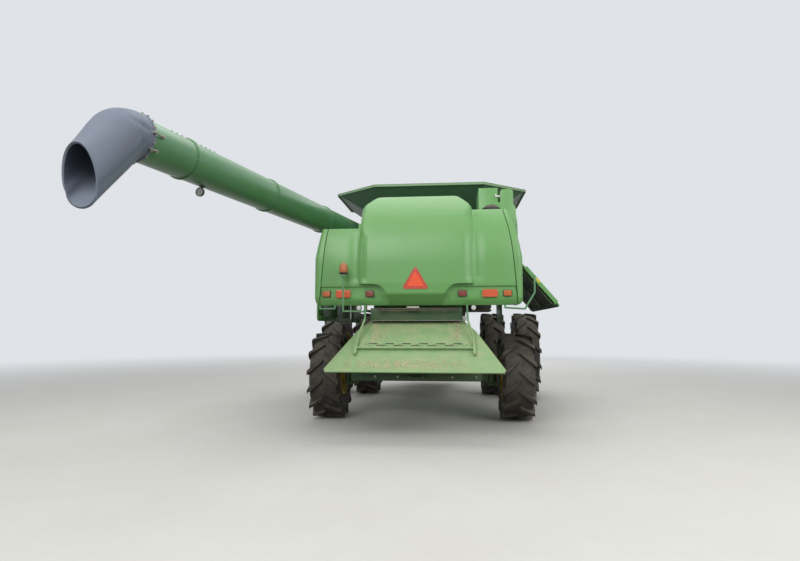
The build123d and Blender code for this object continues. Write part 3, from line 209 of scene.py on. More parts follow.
# %% Dust mask group
dust_group = bpy.data.node_groups.new("field dust", "ShaderNodeTree")
sockets = dust_group.interface
for socket, value in (("Amount", 0.3), ("Top Amount", 0.5), ("Patch Scale", 3.0), ("Fine Scale", 60.0)):
    sockets.new_socket(socket, in_out="INPUT", socket_type="NodeSocketFloat").default_value = value
for socket in ("Mask", "Grain"):
    sockets.new_socket(socket, in_out="OUTPUT", socket_type="NodeSocketFloat")
nodes, links = dust_group.nodes, dust_group.links
inlet, outlet = nodes.new("NodeGroupInput"), nodes.new("NodeGroupOutput")
place = nodes.new("ShaderNodeTexCoord")
patches = add_noise(nodes, links, place, inlet.outputs["Patch Scale"], 5)
grains = add_noise(nodes, links, place, inlet.outputs["Fine Scale"], 3, 0.7)
surface = nodes.new("ShaderNodeNewGeometry")
split = nodes.new("ShaderNodeSeparateXYZ")
links.new(surface.outputs["Normal"], split.inputs[0])
upward = add_math(nodes, links, "MAXIMUM", split.outputs["Z"], 0.0)
upward = add_math(nodes, links, "POWER", upward, 1.5)
top = add_math(nodes, links, "MULTIPLY", upward, inlet.outputs["Top Amount"])
spread = add_math(nodes, links, "ADD", top, inlet.outputs["Amount"])
faint_grains = add_math(nodes, links, "MULTIPLY", grains, 0.35)
mixed = add_math(nodes, links, "MULTIPLY_ADD", patches, 0.75, faint_grains)
sharp = nodes.new("ShaderNodeMapRange")
sharp.inputs["From Min"].default_value = 0.38
sharp.inputs["From Max"].default_value = 0.72
links.new(mixed, sharp.inputs["Value"])
depth = add_math(nodes, links, "MULTIPLY_ADD", sharp.outputs["Result"], 1.5, 0.25)
links.new(add_math(nodes, links, "MULTIPLY", depth, spread, clamp=True), outlet.inputs["Mask"])
links.new(grains, outlet.inputs["Grain"])
print("dust group has", len(nodes), "nodes")

# %% [markdown]
# Most finishes are the same recipe with other values: a base colour that drifts a little
# over the surface, dust by the mask, a roughness that the dust raises, and a fine bump.

# %% Coated materials
def coated(name, base, dust=(170, 158, 120), amount=0.2, top=0.5, patch=2.5, fine=70.0, rough=0.4,
           drift=0.12, bump=0.02, bump_scale=120.0, metallic=0.0, coat=0.0):
    """A painted, rubber, plastic or metal finish with field dust on it."""
    material = bpy.data.materials.new(name)
    material.use_nodes = True
    nodes, links = material.node_tree.nodes, material.node_tree.links
    shader = nodes["Principled BSDF"]
    place = nodes.new("ShaderNodeTexCoord")
    layer = nodes.new("ShaderNodeGroup")
    layer.node_tree = dust_group
    layer.inputs["Amount"].default_value = amount
    layer.inputs["Top Amount"].default_value = top
    layer.inputs["Patch Scale"].default_value = patch
    layer.inputs["Fine Scale"].default_value = fine
    colour = srgb(*base)[:3]
    dark = tuple(value * (1 - drift) for value in colour) + (1,)
    light = tuple(min(1.0, value * (1 + drift)) for value in colour) + (1,)
    tone = add_mix(nodes, links, add_noise(nodes, links, place, 1.3, 4), dark, light)
    cover = add_mix(nodes, links, layer.outputs["Mask"], tone, srgb(*dust))
    links.new(cover, shader.inputs["Base Color"])
    gloss = add_math(nodes, links, "MULTIPLY_ADD", layer.outputs["Mask"], 0.85 - rough, rough, clamp=True)
    links.new(gloss, shader.inputs["Roughness"])
    relief = nodes.new("ShaderNodeBump")
    relief.inputs["Strength"].default_value = 0.35
    relief.inputs["Distance"].default_value = bump
    links.new(add_noise(nodes, links, place, bump_scale, 3), relief.inputs["Height"])
    links.new(relief.outputs["Normal"], shader.inputs["Normal"])
    shader.inputs["Metallic"].default_value = metallic
    shader.inputs["Coat Weight"].default_value = coat
    shader.inputs["Coat Roughness"].default_value = 0.28
    return material


body_green = coated("body green", (98, 158, 84), dust=(152, 174, 130), amount=0.07, top=0.22, patch=1.6,
                    rough=0.42, drift=0.06, coat=0.3, bump=0.0004, bump_scale=22)
tube_green = coated("tube green", (72, 131, 80), dust=(150, 166, 144), amount=0.09, top=0.30, rough=0.34,
                    coat=0.3, bump=0.0005, bump_scale=30)
# The grain tank, its extension and the auger rest get a green darker than their paint: painted shade.
shaded_bin_green = coated("bin green painted shade", (36, 71, 46), dust=(92, 112, 88), amount=0.12, top=0.3, rough=0.5,
                   bump=0.0008)
board_green = coated("board green", (121, 167, 112), dust=(190, 182, 140), amount=0.15, top=0.22, patch=7,
                     fine=150, rough=0.5, drift=0.08, bump=0.001, bump_scale=160)
frame_green = coated("frame green", (36, 78, 42), dust=(118, 114, 88), amount=0.22, top=0.5, rough=0.5,
                     bump=0.001)
rim_yellow = coated("rim yellow", (214, 178, 52), dust=(120, 104, 78), amount=0.42, top=0.4, rough=0.5,
                    bump=0.001)
rubber = coated("tyre rubber", (38, 38, 38), dust=(106, 99, 86), amount=0.38, top=0.35, patch=6, fine=90,
                rough=0.75, bump=0.003, bump_scale=90)
spout_rubber = coated("spout rubber", (105, 114, 131), dust=(132, 134, 138), amount=0.12, top=0.2, rough=0.55,
                      drift=0.08, bump=0.0008, bump_scale=60)
dark_steel = coated("dark steel", (52, 50, 47), dust=(120, 108, 84), amount=0.34, top=0.6, rough=0.6,
                    metallic=0.3)
black_plastic = coated("black plastic", (26, 26, 27), dust=(112, 106, 90), amount=0.12, top=0.32, rough=0.5)
bright_steel = coated("bright steel", (168, 168, 166), amount=0.12, top=0.4, rough=0.3, metallic=0.9,
                      drift=0.05)
galvanized = coated("galvanized steel", (150, 152, 150), amount=0.25, top=0.5, rough=0.45, metallic=0.7)
seat_cloth = coated("seat cloth", (58, 56, 54), amount=0.05, top=0.1, rough=0.9, bump=0.002, bump_scale=500)
sign_orange = coated("sign orange", (240, 84, 40), dust=(200, 150, 110), amount=0.06, top=0.1, rough=0.5,
                     bump=0.0003)
print(len(bpy.data.materials), "materials")

# %% [markdown]
# Lamp lenses are tinted plastic over a reflector, and cab glass is nearly clear.
# Both keep a plain transmission value, and dust only tints and roughens them.

# %% Lenses and glass
def lens(name, base, clear, rough=0.18, dusty=0.12, ripple=0.002):
    """Tinted plastic that lets some light through."""
    material = coated(name, base, amount=dusty, top=0.2, rough=rough, bump=ripple, bump_scale=180)
    shader = material.node_tree.nodes["Principled BSDF"]
    shader.inputs["Transmission Weight"].default_value = clear
    shader.inputs["IOR"].default_value = 1.45
    return material


amber_lens = lens("amber lens", (214, 110, 50), 0.15)
beacon_lens = lens("beacon lens", (196, 104, 62), 0.1, rough=0.3)
red_lens = lens("red lens", (140, 62, 52), 0.1)
reflector_red = lens("reflector red", (226, 84, 44), 0.05)
window_glass = lens("window glass", (204, 218, 212), 0.94, rough=0.03, dusty=0.04, ripple=0.00003)

# %% [markdown]
# Each CAD node now takes its finish. The table is read from the ground up.

# %% Finishes of the CAD nodes
finishes = [
    # material, nodes
    (rubber, "front_tyres_left front_tyres_right rear_tyre_left rear_tyre_right"),
    (rim_yellow, "front_rims_left front_rims_right rear_rim_left rear_rim_right"),
    # on the chopper housing this dark frame green is partly painted shade under the hood
    (frame_green, "main_frame front_axle rear_axle knuckle_left knuckle_right rear_beam chopper_housing "
                  "lift_barrels"),
    (body_green, "separator_body upper_deck side_panel_right side_panel_left lower_covers rear_hood "
                 "shield_left shield_right feeder_house engine_cover radiator_housing cab_roof"),
    (tube_green, "auger_tube auger_turret marker_tubes"),
    # the tank's dark green is painted shade
    (shaded_bin_green, "grain_tank tank_extension auger_rest"),
    (board_green, "tailboard"),
    (black_plastic, "cab_frame cab_door intake_and_exhaust fuel_tank steering_column mirrors"),
    (dark_steel, "engine rotary_screen feeder_chain chopper_rotor platform ladder side_drives"),
    (bright_steel, "lift_rods"),
    (rim_yellow, "handrails"),
    (seat_cloth, "cab_seat"),
    (spout_rubber, "auger_spout"),
    (amber_lens, "lamps_amber beacon"),
    (red_lens, "lamps_red"),
    (reflector_red, "reflectors"),
    (sign_orange, "triangle_sign"),
    (galvanized, "auger_lamp"),
    (window_glass, "cab_glass cab_door_glass"),
]
dressed = set()
for material, names in finishes:
    for name in names.split():
        node = frame["nodes"][name]
        node.data.materials.clear()
        node.data.materials.append(material)
        dressed.add(name)
print("nodes without a finish:", sorted(set(frame["nodes"]) - dressed))

# %% [markdown]
# The floor would grow dark far from the lamps and end in a hard line. So its material fades into
# the world's own pale colour with the distance from the machine, and its bounce light is
# kept low, as over dark trampled earth, so that what faces down stays in shade.

# %% Floor finish
floor_material = coated("pale floor", (208, 207, 202), dust=(198, 194, 184), amount=0.2, top=0.1, patch=0.6,
                        fine=8, rough=0.9, drift=0.03, bump=0.002, bump_scale=30)
nodes, links = floor_material.node_tree.nodes, floor_material.node_tree.links
place = nodes.new("ShaderNodeTexCoord")
far = nodes.new("ShaderNodeVectorMath")
far.operation = "LENGTH"
links.new(place.outputs["Object"], far.inputs[0])
blend = nodes.new("ShaderNodeMapRange")
blend.interpolation_type = "SMOOTHSTEP"
blend.inputs["From Min"].default_value = 7.0
blend.inputs["From Max"].default_value = 26.0
links.new(far.outputs["Value"], blend.inputs["Value"])
sky = nodes.new("ShaderNodeEmission")
sky.inputs["Color"].default_value = sky_colour
sky.inputs["Strength"].default_value = sky_level
shade = nodes.new("ShaderNodeBsdfDiffuse")
shade.inputs["Color"].default_value = srgb(112, 108, 98)
fade, bounce = nodes.new("ShaderNodeMixShader"), nodes.new("ShaderNodeMixShader")
links.new(blend.outputs["Result"], fade.inputs[0])
links.new(nodes["Principled BSDF"].outputs[0], fade.inputs[1])
links.new(sky.outputs[0], fade.inputs[2])
links.new(seen_directly(nodes, links), bounce.inputs[0])
links.new(shade.outputs[0], bounce.inputs[1])
links.new(fade.outputs[0], bounce.inputs[2])
links.new(bounce.outputs[0], nodes["Material Output"].inputs["Surface"])
floor.data.materials.append(floor_material)
print("floor finish has", len(nodes), "nodes")

# %% [markdown]
# New pieces are shaped in bmesh and then become objects. Each stays at the origin with its
# place in its mesh, and rides on the body that carries it.
# Sheet metal and castings look right only with small rounded edges, because light catches
# them. A copy of a CAD solid gets them: its loose triangles are joined, flat neighbours are
# merged, and every sharp edge is bevelled.

# %% Piece helpers
record = frame["record"]
node_body = {node: body for body, names in record["behaviour"]["bodies"].items() for node in names}
made = {}


def piece(name, form, materials, body, stands_for=(), smooth=40):
    """Turn a bmesh into a piece of the machine that rides on a body."""
    made_piece = new_object(name, form)
    for material in materials if isinstance(materials, list) else [materials]:
        made_piece.data.materials.append(material)
    made_piece.data.shade_smooth()
    made_piece.data.set_sharp_from_angle(angle=radians(smooth))
    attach(made_piece, body)
    if stands_for:
        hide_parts(*stands_for)
    made[name] = made_piece
    return made_piece


def paint_faces(made_piece, wanted):
    """Give the faces that pass a test the second finish of their piece."""
    for face in made_piece.data.polygons:
        if wanted(face):
            face.material_index = 1


def face_outwards(*forms):
    """Turn the faces of closed bmeshes outwards."""
    for form in forms:
        bmesh.ops.recalc_face_normals(form, faces=form.faces)


def joined_copy(node):
    """A bmesh copy of a CAD node with its triangles joined and flat neighbours merged."""
    form = bmesh.new()
    form.from_mesh(frame["nodes"][node].data)
    bmesh.ops.remove_doubles(form, verts=form.verts, dist=0.00004)
    bmesh.ops.dissolve_limit(form, angle_limit=radians(0.6), verts=form.verts, edges=form.edges)
    return form


def sharp_edges(form, angle):
    """The edges of a bmesh that turn by more than an angle in degrees."""
    return [edge for edge in form.edges if len(edge.link_faces) == 2
            and edge.calc_face_angle(0) > radians(angle)]


def round_edges(form, edges, width, segments=2):
    """Bevel edges with the editor's own defaults."""
    bmesh.ops.bevel(form, geom=edges, offset=width, offset_type="OFFSET", segments=segments, profile=0.5,
                    affect="EDGES", clamp_overlap=True, material=-1, loop_slide=True)


def softened(node, material, width=0.006, angle=32, segments=2):
    """A copy of a CAD node with rounded edges, standing for it."""
    form = joined_copy(node)
    round_edges(form, sharp_edges(form, angle), width, segments)
    return piece(node + "_sheet", form, material, node_body[node], (node,))


def add_box(form, low, high, bevel=0.0, segments=2, turn=None):
    """Add a box with rounded edges between two corners, turned about its middle if asked."""
    low, high = Vector(low), Vector(high)
    made_verts = bmesh.ops.create_cube(form, size=1.0)["verts"]
    size = high - low
    bmesh.ops.scale(form, vec=size, verts=made_verts)
    if turn is not None:
        bmesh.ops.rotate(form, cent=(0, 0, 0), matrix=turn, verts=made_verts)
    bmesh.ops.translate(form, vec=(low + high) / 2, verts=made_verts)
    if bevel:
        edges = list({edge for vert in made_verts for edge in vert.link_edges})
        round_edges(form, edges, bevel, segments)


def add_rod(form, start, end, radius, sides=16, end_radius=None):
    """Add a closed round bar or cone between two points."""
    start, end = Vector(start), Vector(end)
    axis = end - start
    if end_radius is None:
        end_radius = radius
    verts = bmesh.ops.create_cone(form, cap_ends=True, segments=sides, radius1=radius, radius2=end_radius,
                                  depth=axis.length)["verts"]
    bmesh.ops.rotate(form, cent=(0, 0, 0), matrix=axis.to_track_quat("Z", "Y").to_matrix(), verts=verts)
    bmesh.ops.translate(form, vec=(start + end) / 2, verts=verts)


def add_turned(form, middle, axis, profile, steps=32):
    """Spin a profile of (distance along the axis, radius) pairs into a closed round shape."""
    axis = Vector(axis).normalized()
    side = axis.orthogonal().normalized()
    verts = [form.verts.new(Vector(middle) + axis * along + side * radius) for along, radius in profile]
    edges = [form.edges.new(pair) for pair in zip(verts, verts[1:])]
    bmesh.ops.spin(form, geom=verts + edges, cent=middle, axis=axis, angle=2 * pi, steps=steps,
                   use_merge=True)
    used = {vert for face in form.faces for vert in face.verts}
    bmesh.ops.remove_doubles(form, verts=list(used), dist=0.00002)


def add_bolts(form, places, axis, across=0.024, height=0.012):
    """Add hexagon bolt heads on washers, standing along an axis."""
    axis = Vector(axis).normalized()
    for place in places:
        place = Vector(place)
        add_rod(form, place - axis * 0.002, place + axis * 0.003, across * 0.72, sides=14)
        add_rod(form, place, place + axis * height, across * 0.55, sides=6)


def bolt_circle(x, y, z, radius, count):
    """Places on a circle about the X direction, in machine metres."""
    turns = [2 * pi * index / count for index in range(count)]
    return [at(x, y + radius * cos(turn), z + radius * sin(turn)) for turn in turns]


print("helpers ready for", len(node_body), "nodes")

# %% [markdown]
# The painted panels are pressed or folded sheet with rolled edges. Their CAD solids have the right
# form, so each is copied with rounded edges.

# %% Panels with rounded edges
panels = [
    # node, material, width of the rounding
    ("side_panel_left", body_green, 0.010),
    ("side_panel_right", body_green, 0.010),
    ("lower_covers", body_green, 0.006),
    ("engine_cover", body_green, 0.012),
    ("radiator_housing", body_green, 0.010),
    ("shield_left", body_green, 0.005),
    ("cab_roof", body_green, 0.020),
    ("feeder_house", body_green, 0.006),
    ("fuel_tank", black_plastic, 0.020),
    ("rear_beam", frame_green, 0.005),
    ("upper_deck", body_green, 0.005),
    ("cab_frame", black_plastic, 0.010),
    ("cab_door", black_plastic, 0.005),
]
for node, material, width in panels:
    softened(node, material, width)
print(len(panels), "panels with rounded edges")

# %% [markdown]
# The hood is one large moulding. Its tall middle doesn't meet the sides in a hard step: each
# side wall flows out into a soft valley. The CAD solid has a plain round there. So a copy with
# rounded edges is sliced by planes into strips, and the strips beside each valley are pushed
# in or out by a smooth curve across the machine. The lower lip curls in under the middle, the
# lower corners lift, and the sides swell out a little towards the back.

# %% Hood curves
def ease(low, high, value):
    """A smooth step from 0 to 1 between two values."""
    share = min(1.0, max(0.0, (value - low) / (high - low)))
    return share * share * (3 - 2 * share)


def sliced(form, axis, places):
    """Cut a form at machine places along one axis, without a change of shape."""
    normal = Vector((axis == "x", axis == "y", axis == "z"))
    for place in places:
        whole = list(form.verts) + list(form.edges) + list(form.faces)
        bmesh.ops.bisect_plane(form, geom=whole, plane_co=machine_middle + normal * place, plane_no=normal,
                               dist=0.0004)


step_depth, round_start, round_radius = 0.070, 0.780, 0.090


def step_share(across):
    """How far into its step the CAD hood is, at a distance from its middle: 0 to 1."""
    if across <= round_start:
        return 0.0
    if across >= round_start + round_radius * 0.97:
        return 1.0
    return min(1.0, (round_radius - sqrt(round_radius ** 2 - (across - round_start) ** 2)) / step_depth)


def valley_share(across):
    """The same for the moulded hood: a long slope into a shallow valley."""
    return ease(0.70, 0.93, across) + 0.22 * ease(0.80, 0.90, across) * (1 - ease(0.93, 1.06, across))


# %% Moulded hood
hood_foot, hem_top, lip_top = 1.940, 2.030, 2.117
shoulder_right, shoulder_left = 3.44, 3.13
hood = joined_copy("rear_hood")
round_edges(hood, sharp_edges(hood, 32), 0.014, 3)
for side in (1, -1):
    sliced(hood, "x", [side * (0.68 + 0.02 * index) for index in range(21)])
    sliced(hood, "x", [side * (1.45 + 0.02 * index) for index in range(5)])
sliced(hood, "z", (1.99, hem_top, 2.08, lip_top))
for start, step, count in ((2.28, 0.02, 6), (2.98, 0.03, 6), (3.26, 0.03, 7)):
    sliced(hood, "z", [start + step * index for index in range(count)])
sliced(hood, "y", [-5.28 + 0.05 * index for index in range(12)])
hood.normal_update()
for vert in hood.verts:
    place = vert.co - machine_middle
    across, right = abs(place.x), place.x > 0
    if vert.normal.y < 0.1 and 0.66 < across < 1.10:
        shoulder = shoulder_right if right else shoulder_left
        fade = ease(2.27, 2.37, place.z) * (1 - ease(shoulder - 0.16, shoulder, place.z))
        vert.co.y += step_depth * (valley_share(across) - step_share(across)) * fade
    lip = max(0.0, lip_top - place.z) / (lip_top - hood_foot) * (1 - ease(0.50, 0.62, across))
    hem = max(0.0, hem_top - place.z) / (hem_top - hood_foot)
    vert.co.y += max(0.085 * lip, 0.055 * hem)
    corner = max(0.0, across - 1.45) / 0.10
    lift = (1 - ease(1.94, 2.10, place.z)) * (1 - ease(-5.25, -4.95, place.y))
    vert.co.z += 0.065 * corner ** 2 * lift
    swell = ease(0.95, 1.45, across) * (1 - ease(-5.34, -5.01, place.y))
    vert.co.x += swell * (0.058 if right else -0.018)
piece("rear_hood_moulding", hood, body_green, "chassis", ("rear_hood",), smooth=34)
print("hood has", len(made["rear_hood_moulding"].data.polygons), "faces")

# %% [markdown]
# Farm tyres carry heavy bars in a chevron, which are moulded with the carcass. The carcass
# is a lathe shape, so its section is spun round the axle. One bar starts as a stretched cube,
# is cut across several times, and is then wrapped onto the tread, and copies of it go round.
# This keeps every bar curved with the tyre, which straight boxes would not.

# %% Tyre builder
lug_height, lug_width, lug_round = 0.048, 0.060, 0.007


def tyre_section(radius, half, rim_radius):
    """Half section of a tyre as (distance from the middle, radius) pairs, from bead to crown."""
    crown = radius - lug_height
    bulge = rim_radius + (crown - rim_radius) * 0.5
    return [(half * 0.72, rim_radius + 0.002), (half * 0.79, rim_radius + 0.012),
            (half * 0.83, rim_radius + 0.045), (half * 0.86, rim_radius + 0.047),
            (half * 0.885, rim_radius + 0.075), (half * 0.94, bulge - 0.055), (half * 0.968, bulge),
            (half * 0.955, bulge + 0.05), (half * 0.94, bulge + 0.052), (half * 0.90, crown - 0.075),
            (half * 0.80, crown - 0.028), (half * 0.55, crown - 0.010), (0, crown)]


def surface_radius(section, across):
    """Radius of the carcass at a distance from the tyre's middle, on its tread side."""
    outer = section[7:]
    for (wide, low), (narrow, high) in zip(outer, outer[1:]):
        if narrow <= across <= wide:
            return low + (high - low) * (wide - across) / (wide - narrow)
    return outer[0][1]


def add_tyre(form, middle, radius, width, rim_radius, pitches):
    """Add one tyre about the X axis through a point, with its bars."""
    half = width / 2
    section = tyre_section(radius, half, rim_radius)
    near_half = [(-across, high) for across, high in section]
    far_half = [(across, high) for across, high in reversed(section[:-1])]
    add_turned(form, middle, (1, 0, 0), near_half + far_half, steps=pitches * 5)
    inner = [(-section[0][0], section[0][1]), (section[0][0], section[0][1])]
    add_turned(form, middle, (1, 0, 0), inner, steps=pitches * 5)
    pitch = 2 * pi / pitches
    reach = radius * sin(pitch / 2) * 0.86
    phase = pitch * 0.25 - asin(reach / radius)
    for side in (1, -1):
        bar = bmesh.new()
        bmesh.ops.create_cube(bar, size=1.0)
        long_edges = [edge for edge in bar.edges if abs(edge.verts[0].co.x - edge.verts[1].co.x) > 0.5]
        bmesh.ops.subdivide_edges(bar, edges=long_edges, cuts=7, use_grid_fill=True)
        for vert in bar.verts:
            share = vert.co.x + 0.5
            outside = vert.co.z > 0
            across = half * (0.035 + 0.955 * share)
            low = surface_radius(section, min(across, half * 0.93)) - 0.012
            height = radius - 0.001 - 0.010 * (across / half) ** 2 if outside else low
            if share > 0.99 and outside:
                across -= half * 0.035
            thick = lug_width * (0.86 + 0.55 * share)
            taper = 0.8 if outside else 1.0
            along = -reach + thick / 2 + (2 * reach - thick) * share + vert.co.y * thick * taper
            turn = along / radius
            vert.co = Vector((side * across, -height * sin(turn), height * cos(turn)))
        tops = [edge for edge in sharp_edges(bar, 35)
                if (edge.verts[0].co.yz.length + edge.verts[1].co.yz.length) / 2 > radius - lug_height * 0.6]
        round_edges(bar, tops, lug_round)
        for vert in bar.verts:
            vert.co.yz *= min(1.0, (radius - 0.0005) / vert.co.yz.length)
        shape = bpy.data.meshes.new("bar shape")
        first_turn = Matrix.Rotation(pitch * side * 0.25 - phase, 3, "X")
        bmesh.ops.rotate(bar, cent=(0, 0, 0), matrix=first_turn, verts=bar.verts)
        bmesh.ops.translate(bar, vec=middle, verts=bar.verts)
        for index in range(pitches):
            bar.to_mesh(shape)
            form.from_mesh(shape)
            bmesh.ops.rotate(bar, cent=middle, matrix=Matrix.Rotation(pitch, 3, "X"), verts=bar.verts)
        bar.free()
        bpy.data.meshes.remove(shape)


# %% Tyres on their wheels
front_radius, rear_radius, rear_axle_y = 0.975, 0.750, -3.650
tyre_sets = [
    # node without its side, middles across, machine y, radius, width, rim radius, pitches
    ("front_tyres", (1.520, 2.290), 0.0, front_radius, 0.540, 0.490, 16),
    ("rear_tyre", (1.650,), rear_axle_y, rear_radius, 0.560, 0.335, 14),
]
for name, middles, y, radius, width, rim_radius, pitches in tyre_sets:
    for side_name, side in (("left", -1), ("right", 1)):
        node = name + "_" + side_name
        form = bmesh.new()
        for x in middles:
            add_tyre(form, at(side * x, y, radius), radius, width, rim_radius, pitches)
        face_outwards(form)
        tyre = piece(node + "_lugged", form, rubber, node_body[node], (node,), smooth=32)
        print(tyre.name, len(tyre.data.polygons), "faces")

# %% [markdown]
# Each wheel is held by a ring of hexagon bolts round its hub. They are too small for the
# solids, and the eye misses them at once when a yellow wheel is bare.

# %% Wheel bolts
wheel_bolts = [
    # axle, disc face x, machine y, hub height, bolt circle, how many
    ("front", 2.182, 0.0, front_radius, 0.150, 10),
    ("rear", 1.522, rear_axle_y, rear_radius, 0.125, 8),
]
for axle, x, y, z, circle, count in wheel_bolts:
    for side_name, side in (("right", 1), ("left", -1)):
        body = f"{axle}_wheel_{side_name}"
        form = bmesh.new()
        add_bolts(form, bolt_circle(side * x, y, z, circle, count), (side, 0, 0), across=0.034, height=0.022)
        piece(body + "_bolts", form, dark_steel, body)
print(2 * len(wheel_bolts), "bolt rings")

# %% [markdown]
# Road lamps are a rubber-edged housing with a tinted lens clipped on. A single box of red
# would look like tape, so each lamp is a dark rounded housing and a crowned lens with moulded
# ribs. The lens is a box whose front is inset and raised. The reflectors are flat plates.

# %% Lamp builder
band_y = -5.306
lamp_z, lamp_half_x, lamp_half_z = 2.115, 0.065, 0.050


def add_lens(form, low, high, depth, crown):
    """Add a lens block whose front face, towards the rear, is inset and drawn out."""
    low, high = Vector(low), Vector(high)
    verts = bmesh.ops.create_cube(form, size=1.0)["verts"]
    bmesh.ops.scale(form, vec=(high.x - low.x, depth, high.z - low.z), verts=verts)
    middle = Vector(((low.x + high.x) / 2, low.y - depth / 2, (low.z + high.z) / 2))
    bmesh.ops.translate(form, vec=middle, verts=verts)
    edges = {edge for vert in verts for edge in vert.link_edges}
    corners = [edge for edge in edges if abs((edge.verts[0].co - edge.verts[1].co).y) > depth * 0.9]
    round_edges(form, corners, min(high.x - low.x, high.z - low.z) * 0.16, 3)
    form.normal_update()
    front = [face for face in form.faces if face.is_valid and face.normal.y < -0.95
             and abs(face.calc_center_median().y - (low.y - depth)) < 0.001]
    bmesh.ops.inset_region(form, faces=front, thickness=0.007, depth=0.0)
    raised = {vert for face in front for vert in face.verts}
    bmesh.ops.translate(form, vec=(0, -crown, 0), verts=list(raised))


def rear_lamp(name, x, lens_material, ribs=9):
    """A pair of lamps in the hood's recessed band: housing, lens and ribs."""
    border, inward = 0.008, -0.020
    housing, glass = bmesh.new(), bmesh.new()
    for side in (1, -1):
        low = at(side * x - lamp_half_x, band_y, lamp_z - lamp_half_z)
        high = at(side * x + lamp_half_x, band_y, lamp_z + lamp_half_z)
        add_lens(housing, low, high, 0.026, 0.0)
        low, high = low + Vector((border, inward, border)), high + Vector((-border, inward, -border))
        add_lens(glass, low, high, 0.012, 0.004)
        for index in range(ribs):
            rib_x = low.x + (high.x - low.x) * (index + 0.5) / ribs
            add_box(glass, (rib_x - 0.0022, low.y - 0.0172, low.z + 0.012),
                    (rib_x + 0.0022, low.y - 0.0150, high.z - 0.012))
    piece(name + "_housings", housing, black_plastic, "chassis")
    piece(name + "_lenses", glass, lens_material, "chassis", (name,))


# %% Amber, red and reflector sets
rear_lamp("lamps_amber", 1.370, amber_lens)
rear_lamp("lamps_red", 0.700, red_lens)
plates = bmesh.new()
for side in (1, -1):
    low = at(side * 1.110 - 0.112, band_y - 0.026, 2.058)
    high = at(side * 1.110 + 0.112, band_y - 0.026, 2.172)
    add_lens(plates, low, high, 0.009, 0.002)
    add_box(plates, low + Vector((0.006, 0.026, 0.006)), high + Vector((-0.006, 0, -0.006)), 0.003)
piece("reflector_plates", plates, reflector_red, "chassis", ("reflectors",))
print("rear lamps and reflectors made")

# %% [markdown]
# The slow-vehicle sign is a flat triangle with cut corners: a dull red reflective border round
# a fluorescent middle. Border and middle are two plates on four rivets. The outline is a
# six-sided ring from create_circle whose points are moved onto the cut corners of a triangle.

# %% Triangle sign
def add_triangle(form, foot, base, height, cut, depth):
    """Add an upright triangular plate with its corners cut off."""
    corners = [Vector((-base / 2, 0, 0)), Vector((base / 2, 0, 0)), Vector((0, 0, height))]
    ring = bmesh.ops.create_circle(form, cap_ends=True, segments=6, radius=1.0)["verts"]
    places = []
    for index, corner in enumerate(corners):
        before, after = corners[index - 1], corners[(index + 1) % 3]
        places.append(corner + (before - corner).normalized() * cut)
        places.append(corner + (after - corner).normalized() * cut)
    for vert, place in zip(ring, places):
        vert.co = foot + place
    face = next(face for face in form.faces if face.is_valid and set(face.verts) == set(ring))
    if face.normal.y > 0:
        face.normal_flip()
    drawn = bmesh.ops.extrude_face_region(form, geom=[face])
    verts = [item for item in drawn["geom"] if isinstance(item, bmesh.types.BMVert)]
    bmesh.ops.translate(form, vec=(0, depth, 0), verts=verts)


border, middle, rivets = bmesh.new(), bmesh.new(), bmesh.new()
add_triangle(border, at(0, -5.408, 2.180), 0.406, 0.350, 0.034, 0.0078)
add_triangle(middle, at(0, -5.4095, 2.220), 0.268, 0.232, 0.012, 0.002)
face_outwards(border, middle)
for x, z in ((-0.135, 2.200), (0.135, 2.200), (0.0, 2.470), (0.0, 2.198)):
    add_rod(rivets, at(x, -5.408, z), at(x, -5.4115, z), 0.005, sides=12)
sign_border = coated("sign border red", (196, 58, 44), dust=(190, 140, 110), amount=0.10, top=0.1, rough=0.45,
                     bump=0.0006, bump_scale=420)
piece("sign_border", border, sign_border, "chassis", ("triangle_sign",), smooth=20)
piece("sign_middle", middle, sign_orange, "chassis", smooth=20)
piece("sign_rivets", rivets, galvanized, "chassis")
print("triangle sign made")

# %% [markdown]
# The beacon is a ribbed amber dome on a dark screw-on base, at the top of its pole. Its section is
# spun; every second strip of the dome's side is then pushed in, which gives the moulded ribs.

# %% Beacon
beacon_foot = at(-1.080, -5.475, 2.400)
dome, base = bmesh.new(), bmesh.new()
dome_section = [(0.026, 0.0), (0.026, 0.056), (0.036, 0.064), (0.070, 0.066), (0.110, 0.062), (0.145, 0.050),
                (0.170, 0.028), (0.180, 0.0)]
add_turned(dome, beacon_foot, (0, 0, 1), dome_section, steps=32)
for vert in dome.verts:
    spoke = vert.co - beacon_foot
    turn = round(atan2(spoke.y, spoke.x) / (pi / 16))
    if turn % 2 and 0.03 < spoke.z < 0.15:
        vert.co -= Vector((spoke.x, spoke.y, 0)) * 0.07
base_section = [(-0.002, 0.0), (-0.002, 0.034), (0.006, 0.044), (0.010, 0.066), (0.024, 0.0675),
                (0.030, 0.058), (0.030, 0.0)]
add_turned(base, beacon_foot, (0, 0, 1), base_section, steps=32)
face_outwards(dome, base)
piece("beacon_dome", dome, beacon_lens, "chassis", ("beacon",), smooth=60)
piece("beacon_base", base, black_plastic, "chassis")
print("beacon made")

# %% [markdown]
# The tailboard spreads chopped straw behind the machine. It lives in chaff, so its paint is pale
# with dust, and bits of straw lie on it. The sheet is the CAD solid with rolled edges. The rows of
# small holes, the bolts, the hem along its lower edge and the loose straw are too fine for that.

# %% Tailboard
# down the board's slope, and straight out of its upper face
board_along, board_up = Vector((0, -0.75480, -0.65596)), Vector((0, -0.65596, 0.75480))


def on_board(x, along, height):
    """A point over the tailboard, from its top edge down its slope."""
    return at(0, -5.060, 1.700) + Vector((x, 0, 0)) + board_along * along + board_up * height


